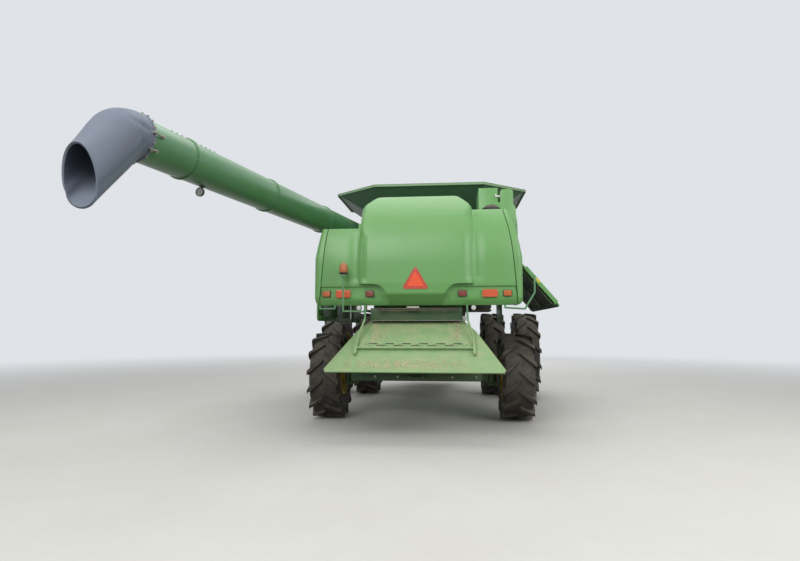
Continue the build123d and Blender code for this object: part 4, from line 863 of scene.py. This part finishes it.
sheet, plate, hem_line = 0.012, 0.034, 1.104
stay_x, board_top_z = 0.858, 1.735
board = softened("tailboard", [board_green, tube_green], 0.003)
paint_faces(board, lambda face: face.center.z > board_top_z)
holes, hem, bolts = bmesh.new(), bmesh.new(), bmesh.new()
lie = Matrix((Vector((1, 0, 0)), -board_along, board_up)).transposed()
for row, count in ((0.545, 6), (0.588, 5)):
    for index in range(count):
        slot = bmesh.ops.create_cube(holes, size=1.0)["verts"]
        bmesh.ops.scale(holes, vec=(0.124, 0.019, 0.0022), verts=slot)
        bmesh.ops.rotate(holes, cent=(0, 0, 0), matrix=lie, verts=slot)
        place = on_board((index - (count - 1) / 2) * 0.250, row, plate + 0.0002)
        bmesh.ops.translate(holes, vec=place, verts=slot)
for index in range(14):
    x = -0.42 + 0.065 * index
    add_rod(holes, on_board(x, 0.105, 0.030), on_board(x, 0.105, 0.0346), 0.0065, sides=12)
add_rod(hem, on_board(-1.236, hem_line, sheet), on_board(1.236, hem_line, sheet), 0.012, sides=12)
for side in (1, -1):
    add_rod(hem, on_board(side * 1.246, 1.096, sheet), on_board(side * 1.266, 1.050, sheet), 0.010, sides=12)
    for along in (0.560, 0.745):
        for face_side in (side, -side):
            add_bolts(bolts, [on_board(side * stay_x + face_side * 0.018, along, 0.045)], (face_side, 0, 0),
                      0.018, 0.010)
    add_bolts(bolts, [on_board(side * x, 0.560, plate) for x in (0.55, 0.75)], board_up, 0.016, 0.007)
    add_bolts(bolts, [on_board(side * 0.655, 0.085, plate)], board_up, 0.020, 0.010)
piece("tailboard_holes", holes, black_plastic, "chassis")
piece("tailboard_hem", hem, board_green, "chassis")
piece("tailboard_bolts", bolts, galvanized, "chassis")

# %% Loose straw on the tailboard
straw_count, straw_on_edge, straw_radius = 1300, 860, 0.0018
random.seed(7)
straw = bmesh.new()
for index in range(straw_count):
    if index < straw_on_edge:
        along = 0.97 + random.gauss(0, 0.060)
        x = random.gauss(-0.25, 0.35) if index % 2 else random.uniform(-1.0, 0.80)
    else:
        along = random.uniform(0.03, 0.50)
        x = random.choice((-1, 1)) * (0.66 - abs(random.gauss(0, 0.09)))
    if along > 1.09 or along < 0.06 or abs(abs(x) - stay_x) < 0.04:
        continue
    on_plate = along < 0.60 and abs(x) < 0.69 + along * 0.2
    middle = on_board(x, along, 0.0365 if on_plate else 0.0245)
    turn = random.uniform(0, pi)
    reach = (Vector((1, 0, 0)) * cos(turn) + board_along * sin(turn)) * random.uniform(0.008, 0.024)
    tip = middle + reach + board_up * random.uniform(0, 0.004)
    add_rod(straw, middle - reach, tip, straw_radius, sides=5)
straw_finish = coated("loose straw", (212, 201, 166), amount=0.0, top=0.0, rough=0.8, drift=0.35, bump=0.0005)
piece("tailboard_straw", straw, straw_finish, "chassis")
print("tailboard dressed,", len(straw_finish.node_tree.nodes), "nodes in its straw")

# %% [markdown]
# Under the hood hang the chopper's housing, its wear plate and two thin pipes. The housing wears
# the dark frame green, partly painted shade under the hood. The beam below carries the hitch.
# Four bolts hold it, and their bright heads are what shows of it in the shade.

# %% Chopper housing and beam bolts
bare_top_z, pipe_y = 1.864, -5.304
# The housing's dark frame green is partly painted shade under the hood.
chopper = softened("chopper_housing", [frame_green, galvanized], 0.004)
paint_faces(chopper, lambda face: face.center.z > bare_top_z)
wear_plate = bmesh.new()
add_box(wear_plate, at(-0.665, -5.2155, 1.705), at(0.755, -5.2095, 1.778), 0.002)
add_bolts(wear_plate, [at(x, -5.2155, 1.762) for x in (-0.60, -0.20, 0.28, 0.70)], (0, -1, 0), 0.018, 0.008)
piece("chopper_wear_plate", wear_plate, galvanized, "chassis")
pipes = bmesh.new()
for height, radius in ((1.886, 0.011), (1.858, 0.008)):
    add_rod(pipes, at(-0.60, pipe_y, height), at(0.66, pipe_y, height), radius, sides=12)
for x in (-0.50, 0.05, 0.56):
    add_box(pipes, at(x - 0.018, -5.318, 1.846), at(x + 0.018, -5.286, 1.900), 0.003)
piece("under_hood_pipes", pipes, dark_steel, "chassis")
beam_bolts = bmesh.new()
add_bolts(beam_bolts, [at(x, -5.340, 0.873) for x in (-0.61, -0.27, 0.54, 0.89)], (0, -1, 0), 0.026, 0.014)
add_bolts(beam_bolts, [at(x, -5.400, 0.880) for x in (-0.11, 0.11)], (0, 0, 1), 0.024, 0.014)
piece("rear_beam_bolts", beam_bolts, galvanized, "chassis")

# %% [markdown]
# Work lamps are a black can with a clear glass over a bright dished reflector. Each is spun from a
# section. The reflector fills the glass, so one pale crowned disc stands for both.

# %% Work lamps
reflector_white = coated("lamp reflector", (206, 208, 204), amount=0.08, top=0.0, rough=0.3, bump=0.0004,
                         bump_scale=300)


def work_lamp(name, face, axis, radius, body="chassis", stands_for=()):
    """A round work lamp whose glass looks along an axis."""
    can, glass = bmesh.new(), bmesh.new()
    add_turned(can, face, axis, [(-0.060, 0.0), (-0.060, radius * 0.5), (-0.030, radius * 0.92),
                                 (-0.006, radius), (0.002, radius), (0.002, radius * 0.88),
                                 (-0.004, radius * 0.86), (-0.006, 0.0)])
    add_turned(glass, face, axis, [(-0.0055, 0.0), (-0.0055, radius * 0.86), (-0.002, radius * 0.86),
                                   (0.0015, radius * 0.5), (0.002, 0.0)])
    face_outwards(can, glass)
    piece(name + "_can", can, black_plastic, body, stands_for)
    piece(name + "_glass", glass, reflector_white, body)


for side_name, side in (("left", -1), ("right", 1)):
    work_lamp("work_lamp_" + side_name, at(side * 0.865, -5.347, 1.900), (0, -1, 0), 0.040)
print("work lamps made")

# %% [markdown]
# The raised tank extension is folded sheet with a turned rim, which catches the light as a thin
# pale line. A slim bar and a flat strip run along the rim from corner to corner. They give that
# line and hide the sheet's cut edge. Their green is paler than the tank's dark green, which is
# painted shade, so the pale line is partly a painted highlight.

# %% Extension rim
rim_middle, rim_z, rim_radius = Vector((0.12, -1.55)), 4.388, 0.0115
rim_points = [Vector(point) for point in ((-0.95, -3.15), (1.19, -3.15), (2.07, -2.45), (2.07, -0.90),
                                          (1.19, 0.05), (-0.95, 0.05), (-1.83, -0.90), (-1.83, -2.45))]


def rim_sides(inset):
    """The start and end of each side of the rim, drawn in towards the tank's middle."""
    corners = [point + (rim_middle - point).normalized() * inset for point in rim_points]
    return zip(corners, corners[1:] + corners[:1])


# The rim's green is paler than the tank's painted shade green: a painted highlight along the rim.
lit_rim_green = coated("lit rim green", (116, 160, 112), dust=(176, 176, 150), amount=0.15, top=0.3, rough=0.45,
                   bump=0.0005)
hem = bmesh.new()
for start, end in rim_sides(0.016):
    add_rod(hem, at(*start, rim_z), at(*end, rim_z), rim_radius, sides=12)
    bmesh.ops.create_uvsphere(hem, u_segments=12, v_segments=8, radius=rim_radius,
                              matrix=Matrix.Translation(at(*end, rim_z)))
for start, end in rim_sides(0.006):
    run, centre = end - start, at(*((start + end) / 2), 4.374)
    half = Vector((run.length / 2, 0.003, 0.021))
    add_box(hem, centre - half, centre + half, 0.002, turn=Matrix.Rotation(atan2(run.y, run.x), 3, "Z"))
piece("extension_rim", hem, lit_rim_green, "chassis")

extension_marks = bmesh.new()
add_box(extension_marks, at(0.145, -3.146, 4.372), at(0.195, -3.128, 4.396), 0.003)
add_box(extension_marks, at(1.270, -4.612, 3.742), at(1.345, -4.594, 3.772), 0.004)
add_box(extension_marks, at(1.262, -4.618, 3.735), at(1.290, -4.594, 3.790), 0.004)
piece("small_white_fittings", extension_marks, reflector_white, "chassis")
print("extension rim made")

# %% [markdown]
# The spout is a thick rubber sleeve that hangs from the auger's end and turns the grain down. It
# bulges over its bend, faint folds run round it from its neck, and its mouth is narrower at the
# top. A ring of points is drawn out along the tube, swung round the bend in small steps and
# drawn on, then cut by a plane at its mouth. Smooth curves over each point's angle and its
# distance along the sleeve push it in or out, and a wall is added last.

# %% Auger line and spout
auger_heading = radians(12)
auger_away = Vector((-sin(auger_heading), -cos(auger_heading), 0))
auger_across = auger_away.cross(Vector((0, 0, 1)))


def on_auger(along, drop=0.0):
    """A point on the auger's line from its pivot, lowered if asked."""
    return at(-1.250, -0.950, 3.600) + auger_away * along - Vector((0, 0, drop))


tube_radius, spout_radius, spout_wall = 0.238, 0.2623, 0.022
sleeve_start, bend_start, bend_radius = 7.382, 7.404, 0.300
neck_steps, bend_steps, tail_steps = 2, 22, 12
spout_turn, tail_length, mouth_tilt = radians(50), 1.01, radians(13)
spout = bmesh.new()
ring = bmesh.ops.create_circle(spout, cap_ends=False, segments=56, radius=spout_radius)["verts"]
bmesh.ops.rotate(spout, cent=(0, 0, 0), matrix=auger_away.to_track_quat("Z", "Y").to_matrix(), verts=ring)
bmesh.ops.translate(spout, vec=on_auger(sleeve_start), verts=ring)


def draw_on(form, ring, move=None, turn=None, centre=None):
    """Extrude a ring of points and move or turn the new ring; gives the new ring."""
    edges = list({edge for vert in ring for edge in vert.link_edges
                  if edge.verts[0] in ring and edge.verts[1] in ring})
    drawn = bmesh.ops.extrude_edge_only(form, edges=edges)["geom"]
    verts = [item for item in drawn if isinstance(item, bmesh.types.BMVert)]
    if turn is not None:
        bmesh.ops.rotate(form, cent=centre, matrix=turn, verts=verts)
    if move is not None:
        bmesh.ops.translate(form, vec=move, verts=verts)
    return verts


rings = [ring]
for step in range(neck_steps):
    rings.append(draw_on(spout, rings[-1], move=auger_away * ((bend_start - sleeve_start) / neck_steps)))
bend_centre = on_auger(bend_start, bend_radius)
bend_step = Matrix.Rotation(-spout_turn / bend_steps, 3, auger_across)
for step in range(bend_steps):
    rings.append(draw_on(spout, rings[-1], turn=bend_step, centre=bend_centre))
down = auger_away * cos(spout_turn) - Vector((0, 0, sin(spout_turn)))
for step in range(tail_steps):
    rings.append(draw_on(spout, rings[-1], move=down * (tail_length / tail_steps)))
print("spout rings", len(rings), "of", len(rings[0]), "points")


# %% Folds, mouth and wall of the spout
def limited(value):
    """A value held between 0 and 1."""
    return min(1.0, max(0.0, value))


def crease(up, line, width=0.09):
    """The depth of a crease that follows a line round the sleeve: 1 on the line, 0 away from it."""
    return exp(-((up - line) / width) ** 2)


for index, ring in enumerate(rings):
    middle = sum((vert.co for vert in ring), Vector()) / len(ring)
    past = max(0, index - neck_steps - bend_steps)
    bend = (index - past - neck_steps - 1) / (bend_steps - 1) + 0.24 * past
    narrowing = ease(0, 10, past)
    crown = exp(-((bend - 0.95) / 0.62) ** 2) if index > neck_steps else 0.0
    ripple = max(0.0, sin(bend * 20)) * max(0.0, sin(pi * limited(bend)))
    for vert in ring:
        spoke = vert.co - middle
        outward = spoke.normalized()
        side, up = abs(outward.dot(auger_across)), outward.z
        neck_fold = crease(up, 0.22 + 0.55 * (bend - 0.3)) * max(0.0, sin(pi * limited(bend / 0.75)))
        mouth_fold = crease(up, -0.30) * ease(0.25, 0.6, bend)
        folds = 0.075 * neck_fold + 0.060 * mouth_fold + 0.022 * ripple
        vert.co += spoke * (0.15 * crown * max(0.0, up) - side * folds)
        vert.co -= spoke * narrowing * (0.075 + 0.080 * max(0.0, -up - 0.75) / 0.25)
        squeeze = 0.32 * limited(0.5 + 0.9 * up) - 0.16 * max(0.0, -up - 0.15)
        vert.co -= auger_across * spoke.dot(auger_across) * squeeze * narrowing
bend_reach, bend_rise = bend_radius * sin(spout_turn), bend_radius * cos(spout_turn)
bend_end = bend_centre + auger_away * bend_reach + Vector((0, 0, bend_rise))
mouth = bend_end + down * 0.628
mouth_normal = auger_away * cos(mouth_tilt) - Vector((0, 0, sin(mouth_tilt)))
whole = list(spout.verts) + list(spout.edges) + list(spout.faces)
bmesh.ops.bisect_plane(spout, geom=whole, plane_co=mouth, plane_no=mouth_normal, clear_outer=True)
face_outwards(spout)
neck_face = spout.faces[0]
if (neck_face.calc_center_median() - on_auger(sleeve_start + 0.03)).dot(neck_face.normal) < 0:
    bmesh.ops.reverse_faces(spout, faces=spout.faces)
bmesh.ops.solidify(spout, geom=list(spout.faces), thickness=spout_wall)
add_turned(spout, on_auger(sleeve_start - 0.004), auger_away,
           [(0, 0.250), (0, 0.267), (0.005, 0.270), (0.019, 0.270), (0.024, 0.267), (0.024, 0.250)], steps=56)
spout_piece = piece("spout_sleeve", spout, spout_rubber, "auger", ("auger_spout",), smooth=55)
print("spout sleeve has", len(spout_piece.data.polygons), "faces")

# %% [markdown]
# The tube is rolled sheet in flanged lengths. Bolts stand round the sleeve's collar, along a seam
# on top and beside the flanges, and two draw bolts on each side pull the sleeve up tight. They are
# hexagon heads set by the same helper as the wheel bolts, each along its own spoke of the tube.

# %% Auger bolts
def round_auger(along, turn, radius):
    """A point over the auger tube's skin and the direction that it stands in there."""
    spoke = auger_across * sin(turn) + Vector((0, 0, cos(turn)))
    return on_auger(along) + spoke * radius, spoke


bolts, straps = bmesh.new(), bmesh.new()
for index in range(20):
    place, spoke = round_auger(sleeve_start + 0.008, 2 * pi * index / 20, 0.270)
    add_bolts(bolts, [place], spoke, 0.020, 0.014)
for index in range(10):
    place, spoke = round_auger(6.22 + 0.085 * index, radians(-30), tube_radius)
    add_bolts(bolts, [place], spoke, 0.015, 0.010)
for along in (6.620, 6.680, 4.770, 4.830, 2.870, 2.930):
    for turn in (-100, -60, 60, 120, 175):
        place, spoke = round_auger(along, radians(turn), tube_radius)
        add_bolts(bolts, [place], spoke, 0.014, 0.009)
draw_bolts = [(-86, 7.270, 7.420), (-122, 7.320, 7.415), (86, 7.270, 7.420), (122, 7.320, 7.415)]
for turn, foot_along, tip_along in draw_bolts:
    foot, spoke = round_auger(foot_along, radians(turn), tube_radius)
    tip = round_auger(tip_along, radians(turn), tube_radius)[0]
    add_rod(straps, foot + spoke * 0.034, tip + spoke * 0.052, 0.009, sides=10)
    add_rod(straps, foot - spoke * 0.004, foot + spoke * 0.048, 0.017, sides=12)
    add_rod(straps, tip + spoke * 0.016, tip + spoke * 0.064, 0.013, sides=12)
piece("auger_bolts", bolts, galvanized, "auger")
piece("spout_draw_bolts", straps, galvanized, "auger")

# %% Auger work lamp
lamp_along, stalk_along = 6.325, 6.275
lamp_face = on_auger(lamp_along, tube_radius + 0.083)
work_lamp("auger_lamp", lamp_face, auger_away, 0.058, "auger", ("auger_lamp",))
stalk, foot_half = bmesh.new(), Vector((0.03, 0.03, 0))
add_rod(stalk, on_auger(stalk_along, tube_radius + 0.063), on_auger(stalk_along, tube_radius + 0.0006),
        0.014, sides=14)
add_box(stalk, on_auger(stalk_along, tube_radius + 0.010) - foot_half,
        on_auger(stalk_along, tube_radius - 0.008) + foot_half, 0.003)
piece("auger_lamp_stalk", stalk, black_plastic, "auger")
print("auger dressed")

# %% [markdown]
# The right shield stands open, so its dark unpainted inside shows. It's a pressed panel
# with a folded lip at its rear end. The copy of the CAD solid is painted face by face: what
# looks back at the machine is black, the rest is green. The lip, the grips and the marker are
# added along its slope. The left shield is closed, and its grips stand upright.

# %% Opened right shield
shield_open, grip_places, grip_ends = radians(40), (-4.30, -3.60, -2.90), (-0.064, 0.064)
shield_slope = Vector((sin(shield_open), 0, -cos(shield_open)))
shield_out = Vector((cos(shield_open), 0, sin(shield_open)))
shield_turn = Matrix((shield_slope, Vector((0, 1, 0)), shield_out)).transposed()


def on_shield(down, y, out):
    """A point on the open right shield: down its slope from the hinge, along, and outwards."""
    return at(1.590, y, 2.640) + shield_slope * down + shield_out * out


def add_slab(form, down, y, out, size, bevel=0.0):
    """A box that lies in the open shield's slope."""
    middle, half = on_shield(down, y, out), Vector(size) / 2
    add_box(form, middle - half, middle + half, bevel, turn=shield_turn)


right_shield = softened("shield_right", [body_green, black_plastic], 0.004)
paint_faces(right_shield, lambda face: face.normal.dot(shield_out) < -0.5)
lip, marker, grips = bmesh.new(), bmesh.new(), bmesh.new()
add_slab(lip, 0.50, -4.987, 0.002, (0.72, 0.010, 0.062), 0.003)
add_slab(marker, 0.42, -4.994, 0.010, (0.085, 0.006, 0.030), 0.002)
for y in grip_places:
    add_slab(grips, 0.865, y, 0.026, (0.022, 0.150, 0.014), 0.005)
    for end in grip_ends:
        add_slab(grips, 0.865, y + end, 0.018, (0.022, 0.022, 0.020), 0.004)
piece("shield_right_lip", lip, body_green, "shield_right")
marker_yellow = lens("marker yellow", (238, 212, 62), 0.05)
piece("shield_right_marker", marker, marker_yellow, "shield_right")
piece("shield_right_grips", grips, black_plastic, "shield_right")

grips = bmesh.new()
for y in grip_places:
    add_box(grips, at(-1.621, y - 0.075, 1.764), at(-1.611, y + 0.075, 1.786), 0.004)
    for end in grip_ends:
        add_box(grips, at(-1.616, y + end - 0.011, 1.764), at(-1.602, y + end + 0.011, 1.786), 0.003)
piece("shield_left_grips", grips, black_plastic, "shield_left")
print("shields dressed")

# %% [markdown]
# Long side panels are several pressed sheets that meet in narrow gaps, held by quarter-turn
# latches and hexagon bolts. A gap would be a boolean cut, but a thin dark
# strip let into the skin reads the same and keeps the sheet's rounded edges whole.

# %% Panel gaps, latches and bolts
side_x, gap_foot = 1.550, 2.668
gaps, latches, bolts = bmesh.new(), bmesh.new(), bmesh.new()
latch_section = [(-0.003, 0.0), (-0.003, 0.030), (0.004, 0.030), (0.008, 0.024), (0.008, 0.010),
                 (0.012, 0.008), (0.012, 0.0)]


def add_gap(x, y, top):
    """A dark joint between two panels, 5 mm wide, flush with the machine's side."""
    add_box(gaps, at(x - 0.0007, y - 0.0025, gap_foot), at(x + 0.0007, y + 0.0025, top))


def add_latch(x, y, z):
    """A round quarter-turn latch on the machine's side, with its slot bar."""
    side = 1 if x > 0 else -1
    bar_x = x + side * 0.012
    add_turned(latches, at(x, y, z), (side, 0, 0), latch_section, steps=20)
    add_box(latches, at(bar_x - 0.004, y - 0.003, z - 0.020), at(bar_x + 0.004, y + 0.003, z + 0.020))


for x, y, top in ((-side_x, -1.77, 3.02), (-side_x, -3.18, 3.02), (side_x, -1.33, 3.32),
                  (side_x, -2.31, 3.32)):
    add_gap(x, y, top)
for x, height in ((-side_x, 2.735), (side_x, 2.735), (side_x, 3.24), (-side_x, 2.95)):
    for y in (-0.62, -1.25, -2.05, -2.80):
        add_latch(x, y, height)
for side in (1, -1):
    for index in range(6):
        for z in (1.745, 2.625):
            add_bolts(bolts, [at(side * 1.575, -1.16 - index * 0.184, z)], (side, 0, 0), 0.022, 0.009)
face_outwards(latches)
piece("panel_gaps", gaps, black_plastic, "chassis")
piece("panel_latches", latches, black_plastic, "chassis")
piece("panel_bolts", bolts, dark_steel, "chassis")
print("side panels dressed")

# %% [markdown]
# The air for the radiator passes a turning drum of fine perforated sheet, which keeps chaff out.
# Real holes would cost millions of faces. A Voronoi pattern with no randomness gives a
# regular grid of cells, and the distance in each cell makes a round hole in colour and in bump.

# %% Pattern of holes or studs
def studded(material, pitch, reach, tint, sink):
    """Give a coated finish a regular grid of round marks, pressed in or raised."""
    nodes, links = material.node_tree.nodes, material.node_tree.links
    shader = nodes["Principled BSDF"]
    place, cells = nodes.new("ShaderNodeTexCoord"), nodes.new("ShaderNodeTexVoronoi")
    links.new(place.outputs["Object"], cells.inputs["Vector"])
    cells.inputs["Scale"].default_value = 1 / pitch
    cells.inputs["Randomness"].default_value = 0.0
    marks = nodes.new("ShaderNodeMapRange")
    marks.inputs["From Min"].default_value = reach * 0.8
    marks.inputs["From Max"].default_value = reach
    marks.inputs["To Min"].default_value = 1.0
    marks.inputs["To Max"].default_value = 0.0
    links.new(cells.outputs["Distance"], marks.inputs["Value"])
    plain = shader.inputs["Base Color"].links[0].from_socket
    blend = add_mix(nodes, links, marks.outputs["Result"], plain, srgb(*tint))
    links.new(blend, shader.inputs["Base Color"])
    relief = nodes.new("ShaderNodeBump")
    relief.invert = sink < 0
    relief.inputs["Distance"].default_value = abs(sink)
    links.new(marks.outputs["Result"], relief.inputs["Height"])
    links.new(shader.inputs["Normal"].links[0].from_socket, relief.inputs["Normal"])
    links.new(relief.outputs["Normal"], shader.inputs["Normal"])
    return material


screen_mesh = studded(coated("screen mesh", (84, 82, 76), dust=(150, 138, 106), amount=0.4, top=0.3,
                             rough=0.5, metallic=0.5), 0.012, 0.40, (16, 15, 14), -0.002)
tread_plate = studded(coated("tread plate", (66, 66, 63), dust=(132, 120, 92), amount=0.36, top=0.35,
                             rough=0.55, metallic=0.4), 0.036, 0.30, (96, 94, 88), 0.003)

# %% Rotary screen, platform and ladder
mesh_x = at(1.618, 0, 0).x
screen = softened("rotary_screen", [dark_steel, screen_mesh], 0.003)
paint_faces(screen, lambda face: face.normal.x > 0.9 and abs(face.center.x - mesh_x) < 0.003)
hub_bolts = bmesh.new()
add_bolts(hub_bolts, bolt_circle(1.646, -3.930, 3.150, 0.055, 6), (1, 0, 0), 0.020, 0.009)
piece("rotary_screen_bolts", hub_bolts, galvanized, node_body["rotary_screen"])
deck = softened("platform", [dark_steel, tread_plate], 0.004)
paint_faces(deck, lambda face: face.normal.z > 0.9)
strips, treads = bmesh.new(), 6
foot_x, foot_z, top_x, top_z = -2.210, 0.450, -1.735, 1.990
for index in range(treads):
    share = (index + 0.5) / treads
    x, z = foot_x + (top_x - foot_x) * share, foot_z + (top_z - foot_z) * share
    for line in range(5):
        strip_x = x - 0.072 + 0.036 * line
        add_box(strips, at(strip_x - 0.005, 1.072, z + 0.012), at(strip_x + 0.005, 1.368, z + 0.019), 0.002)
    for edge in (-0.087, 0.087):
        add_box(strips, at(x + edge - 0.002, 1.064, z - 0.012), at(x + edge + 0.002, 1.376, z + 0.012))
piece("ladder_grip_strips", strips, galvanized, "ladder")
print("screen, platform and ladder dressed")

# %% [markdown]
# The cab carries lamps in its roof's front edge, two mirrors, and a door with a grab handle.
# Lenses are rounded blocks set a few millimetres into their housings, and a mirror is a thin
# polished plate in front of its shell, because a real one has that edge too.

# %% Cab lamps, mirrors and handle
roof, visor_y, handle_y = made["cab_roof_sheet"], at(0, 1.884, 0).y, 1.286
roof.data.materials.append(black_plastic)
paint_faces(roof, lambda face: face.center.y > visor_y)
mirror_finish = coated("mirror glass", (196, 200, 202), amount=0.06, top=0.0, rough=0.06, metallic=1.0,
                       bump=0.0001)
lenses, glasses, handle = bmesh.new(), bmesh.new(), bmesh.new()
for side in (1, -1):
    for inner, outer in ((0.430, 0.630), (0.670, 0.850)):
        low, high = sorted((side * inner, side * outer))
        add_box(lenses, at(low + 0.014, 1.9215, 3.594), at(high - 0.014, 1.9320, 3.666), 0.005, 3)
    low, high = sorted((side * 1.060, side * 1.240))
    add_box(glasses, at(low + 0.010, 1.7222, 2.962), at(high - 0.010, 1.7262, 3.338), 0.0015)
add_rod(handle, at(-0.926, handle_y, 2.560), at(-0.926, handle_y, 2.760), 0.009, sides=14)
for z in (2.575, 2.745):
    add_rod(handle, at(-0.926, handle_y, z), at(-0.902, handle_y, z), 0.008, sides=12)
piece("cab_roof_lenses", lenses, reflector_white, "chassis")
piece("mirror_plates", glasses, mirror_finish, node_body["mirrors"])
piece("cab_door_handle", handle, black_plastic, "cab_door")
print("cab dressed")

# %% [markdown]
# The driver's seat is a cushion and a back of knitted cloth over foam, on a suspension covered by
# bellows. Foam under cloth bulges between its seams, which no bevel gives. So each pad is a box
# that is remeshed, blown up a little as cloth, and held to a small move. A piping cord runs round
# its seam.

# %% Padded cushions
def evaluated_mesh(made_object):
    """The mesh that an object's modifiers give at the current frame."""
    return bpy.data.meshes.new_from_object(made_object.evaluated_get(bpy.context.evaluated_depsgraph_get()))


def stuffed(name, low, high, corner, most=0.010, steps=20):
    """A cushion between two corners, swollen by a short cloth simulation."""
    form = bmesh.new()
    add_box(form, at(*low), at(*high), corner, 4)
    pad = new_object(name, form)
    remesh = pad.modifiers.new("remesh", "REMESH")
    remesh.mode, remesh.voxel_size = "VOXEL", 0.010
    pad.data = evaluated_mesh(pad)
    pad.modifiers.clear()
    starts = [vert.co.copy() for vert in pad.data.vertices]
    cloth = pad.modifiers.new("cloth", "CLOTH")
    cloth.settings.use_pressure = True
    cloth.settings.uniform_pressure_force = 4
    cloth.settings.effector_weights.gravity = 0
    for step in range(1, steps + 1):
        bpy.context.scene.frame_set(step)
    pad.data = evaluated_mesh(pad)
    pad.modifiers.clear()
    bpy.context.scene.frame_set(1)
    for vert, start in zip(pad.data.vertices, starts):
        move = vert.co - start
        if move.length > most:
            vert.co = start + move.normalized() * most
    pad.data.materials.append(seat_cloth)
    pad.data.shade_smooth()
    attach(pad, "chassis")
    made[name] = pad


def add_piping(form, corners, radius=0.005):
    """A round piping cord along the seam between corners."""
    for start, end in zip(corners, corners[1:] + corners[:1]):
        add_rod(form, start, end, radius, sides=8)
        bmesh.ops.create_uvsphere(form, u_segments=8, v_segments=6, radius=radius,
                                  matrix=Matrix.Translation(end))


cushion_low, cushion_high = Vector((-0.248, 0.215, 2.462)), Vector((0.248, 0.705, 2.566))
back_low, back_high = Vector((-0.228, 0.142, 2.596)), Vector((0.228, 0.238, 3.165))
stuffed("seat_cushion", cushion_low, cushion_high, 0.036)
stuffed("seat_back", back_low, back_high, 0.034)
base, piping = bmesh.new(), bmesh.new()
add_box(base, at(-0.170, 0.270, 2.1005), at(0.170, 0.630, 2.150), 0.010)
for index in range(7):
    inset, fold_z = 0.012 if index % 2 else 0.0, 2.150 + index * 0.038
    add_box(base, at(-0.150 + inset, 0.290 + inset, fold_z), at(0.150 - inset, 0.610 - inset, fold_z + 0.038),
            0.006)
add_box(base, at(-0.235, 0.200, 2.414), at(0.235, 0.690, 2.464), 0.014)
add_box(base, at(-0.150, 0.134, 2.430), at(0.150, 0.205, 2.640), 0.012)
for side in (1, -1):
    low, high = sorted((side * 0.196, side * 0.256))
    add_box(base, at(low, 0.250, 2.700), at(high, 0.560, 2.745), 0.018, 3)
    add_box(base, at(low + 0.012, 0.232, 2.640), at(high - 0.012, 0.280, 2.740), 0.010)
seam = 0.022
seat_x, near, far = cushion_high.x - seam, cushion_low.y + seam, cushion_high.y - seam
cushion_seam = ((-1, near), (1, near), (1, far), (-1, far))
add_piping(piping, [at(side * seat_x, y, cushion_high.z) for side, y in cushion_seam])
back_x, foot, head = back_high.x - seam, back_low.z + seam, back_high.z - seam
back_seam = ((-1, foot), (1, foot), (1, head), (-1, head))
add_piping(piping, [at(side * back_x, back_high.y, z) for side, z in back_seam])
piece("seat_base", base, black_plastic, "chassis", ("cab_seat",))
piece("seat_piping", piping, black_plastic, "chassis")
print("seat made,", len(made["seat_cushion"].data.polygons), "faces in its cushion")

# %% [markdown]
# The feeder house and the tank extension are bolted sheet. Their bolts follow the sheet's own
# edges, so the rows are read from the flat faces of the CAD solids instead of being typed in.

# %% Bolt rows along sheet edges
def edge_bolts(name, node, body, wanted, inset, pitch):
    """A piece with bolts along the lower edge of each large flat face of a node that passes a test."""
    bolts, rows = bmesh.new(), 0
    source = joined_copy(node)
    source.normal_update()
    for face in source.faces:
        if face.calc_area() < 0.25 or not wanted(face):
            continue
        longest = sorted(face.edges, key=lambda edge: edge.calc_length())[-2:]
        edge = min(longest, key=lambda edge: edge.verts[0].co.z + edge.verts[1].co.z)
        start, end = edge.verts[0].co, edge.verts[1].co
        along = (end - start).normalized()
        inward = face.normal.cross(along)
        if (face.calc_center_median() - start).dot(inward) < 0:
            inward = -inward
        count = int((end - start).length / pitch)
        for index in range(count):
            place = start + (end - start) * ((index + 0.5) / count) + inward * inset
            add_bolts(bolts, [place], face.normal, 0.020, 0.009)
        rows += 1
    source.free()
    piece(name, bolts, dark_steel, body)
    print(rows, "bolt rows on", node)


def on_feeder_side(face):
    """Whether a face is one of the feeder house's two outer sides."""
    outward = (face.calc_center_median().x - machine_middle.x) * face.normal.x
    return abs(face.normal.x) > 0.95 and outward > 0.5


def on_tank_outside(face):
    """Whether a face looks away from the tank's middle and isn't level."""
    outward = face.calc_center_median() - at(0.12, -1.55, 4.1)
    return abs(face.normal.z) < 0.85 and outward.dot(face.normal) > 0


edge_bolts("feeder_house_bolts", "feeder_house", "feeder_house", on_feeder_side, 0.040, 0.17)
edge_bolts("tank_extension_bolts", "tank_extension", "chassis", on_tank_outside, 0.045, 0.20)

# %% Tank ribs and fuel cap
ribs, cap = bmesh.new(), bmesh.new()
for y in (-0.80, -1.30, -1.80, -2.30):
    add_box(ribs, at(1.296, y - 0.022, 3.470), at(1.312, y + 0.022, 3.832), 0.004)
for y in (-1.60, -2.10, -2.60):
    add_box(ribs, at(-0.992, y - 0.022, 3.170), at(-0.976, y + 0.022, 3.832), 0.004)
cap_section = [(-0.004, 0.0), (-0.004, 0.062), (0.008, 0.062), (0.010, 0.054), (0.034, 0.052), (0.040, 0.044),
               (0.040, 0.0)]
add_turned(cap, at(1.200, 0.450, 2.700), (0, 0, 1), cap_section, steps=28)
face_outwards(cap)
# the ribs wear the tank's dark green, which is painted shade
piece("grain_tank_ribs", ribs, shaded_bin_green, "chassis")
piece("fuel_cap", cap, black_plastic, "chassis")
print("tank dressed")
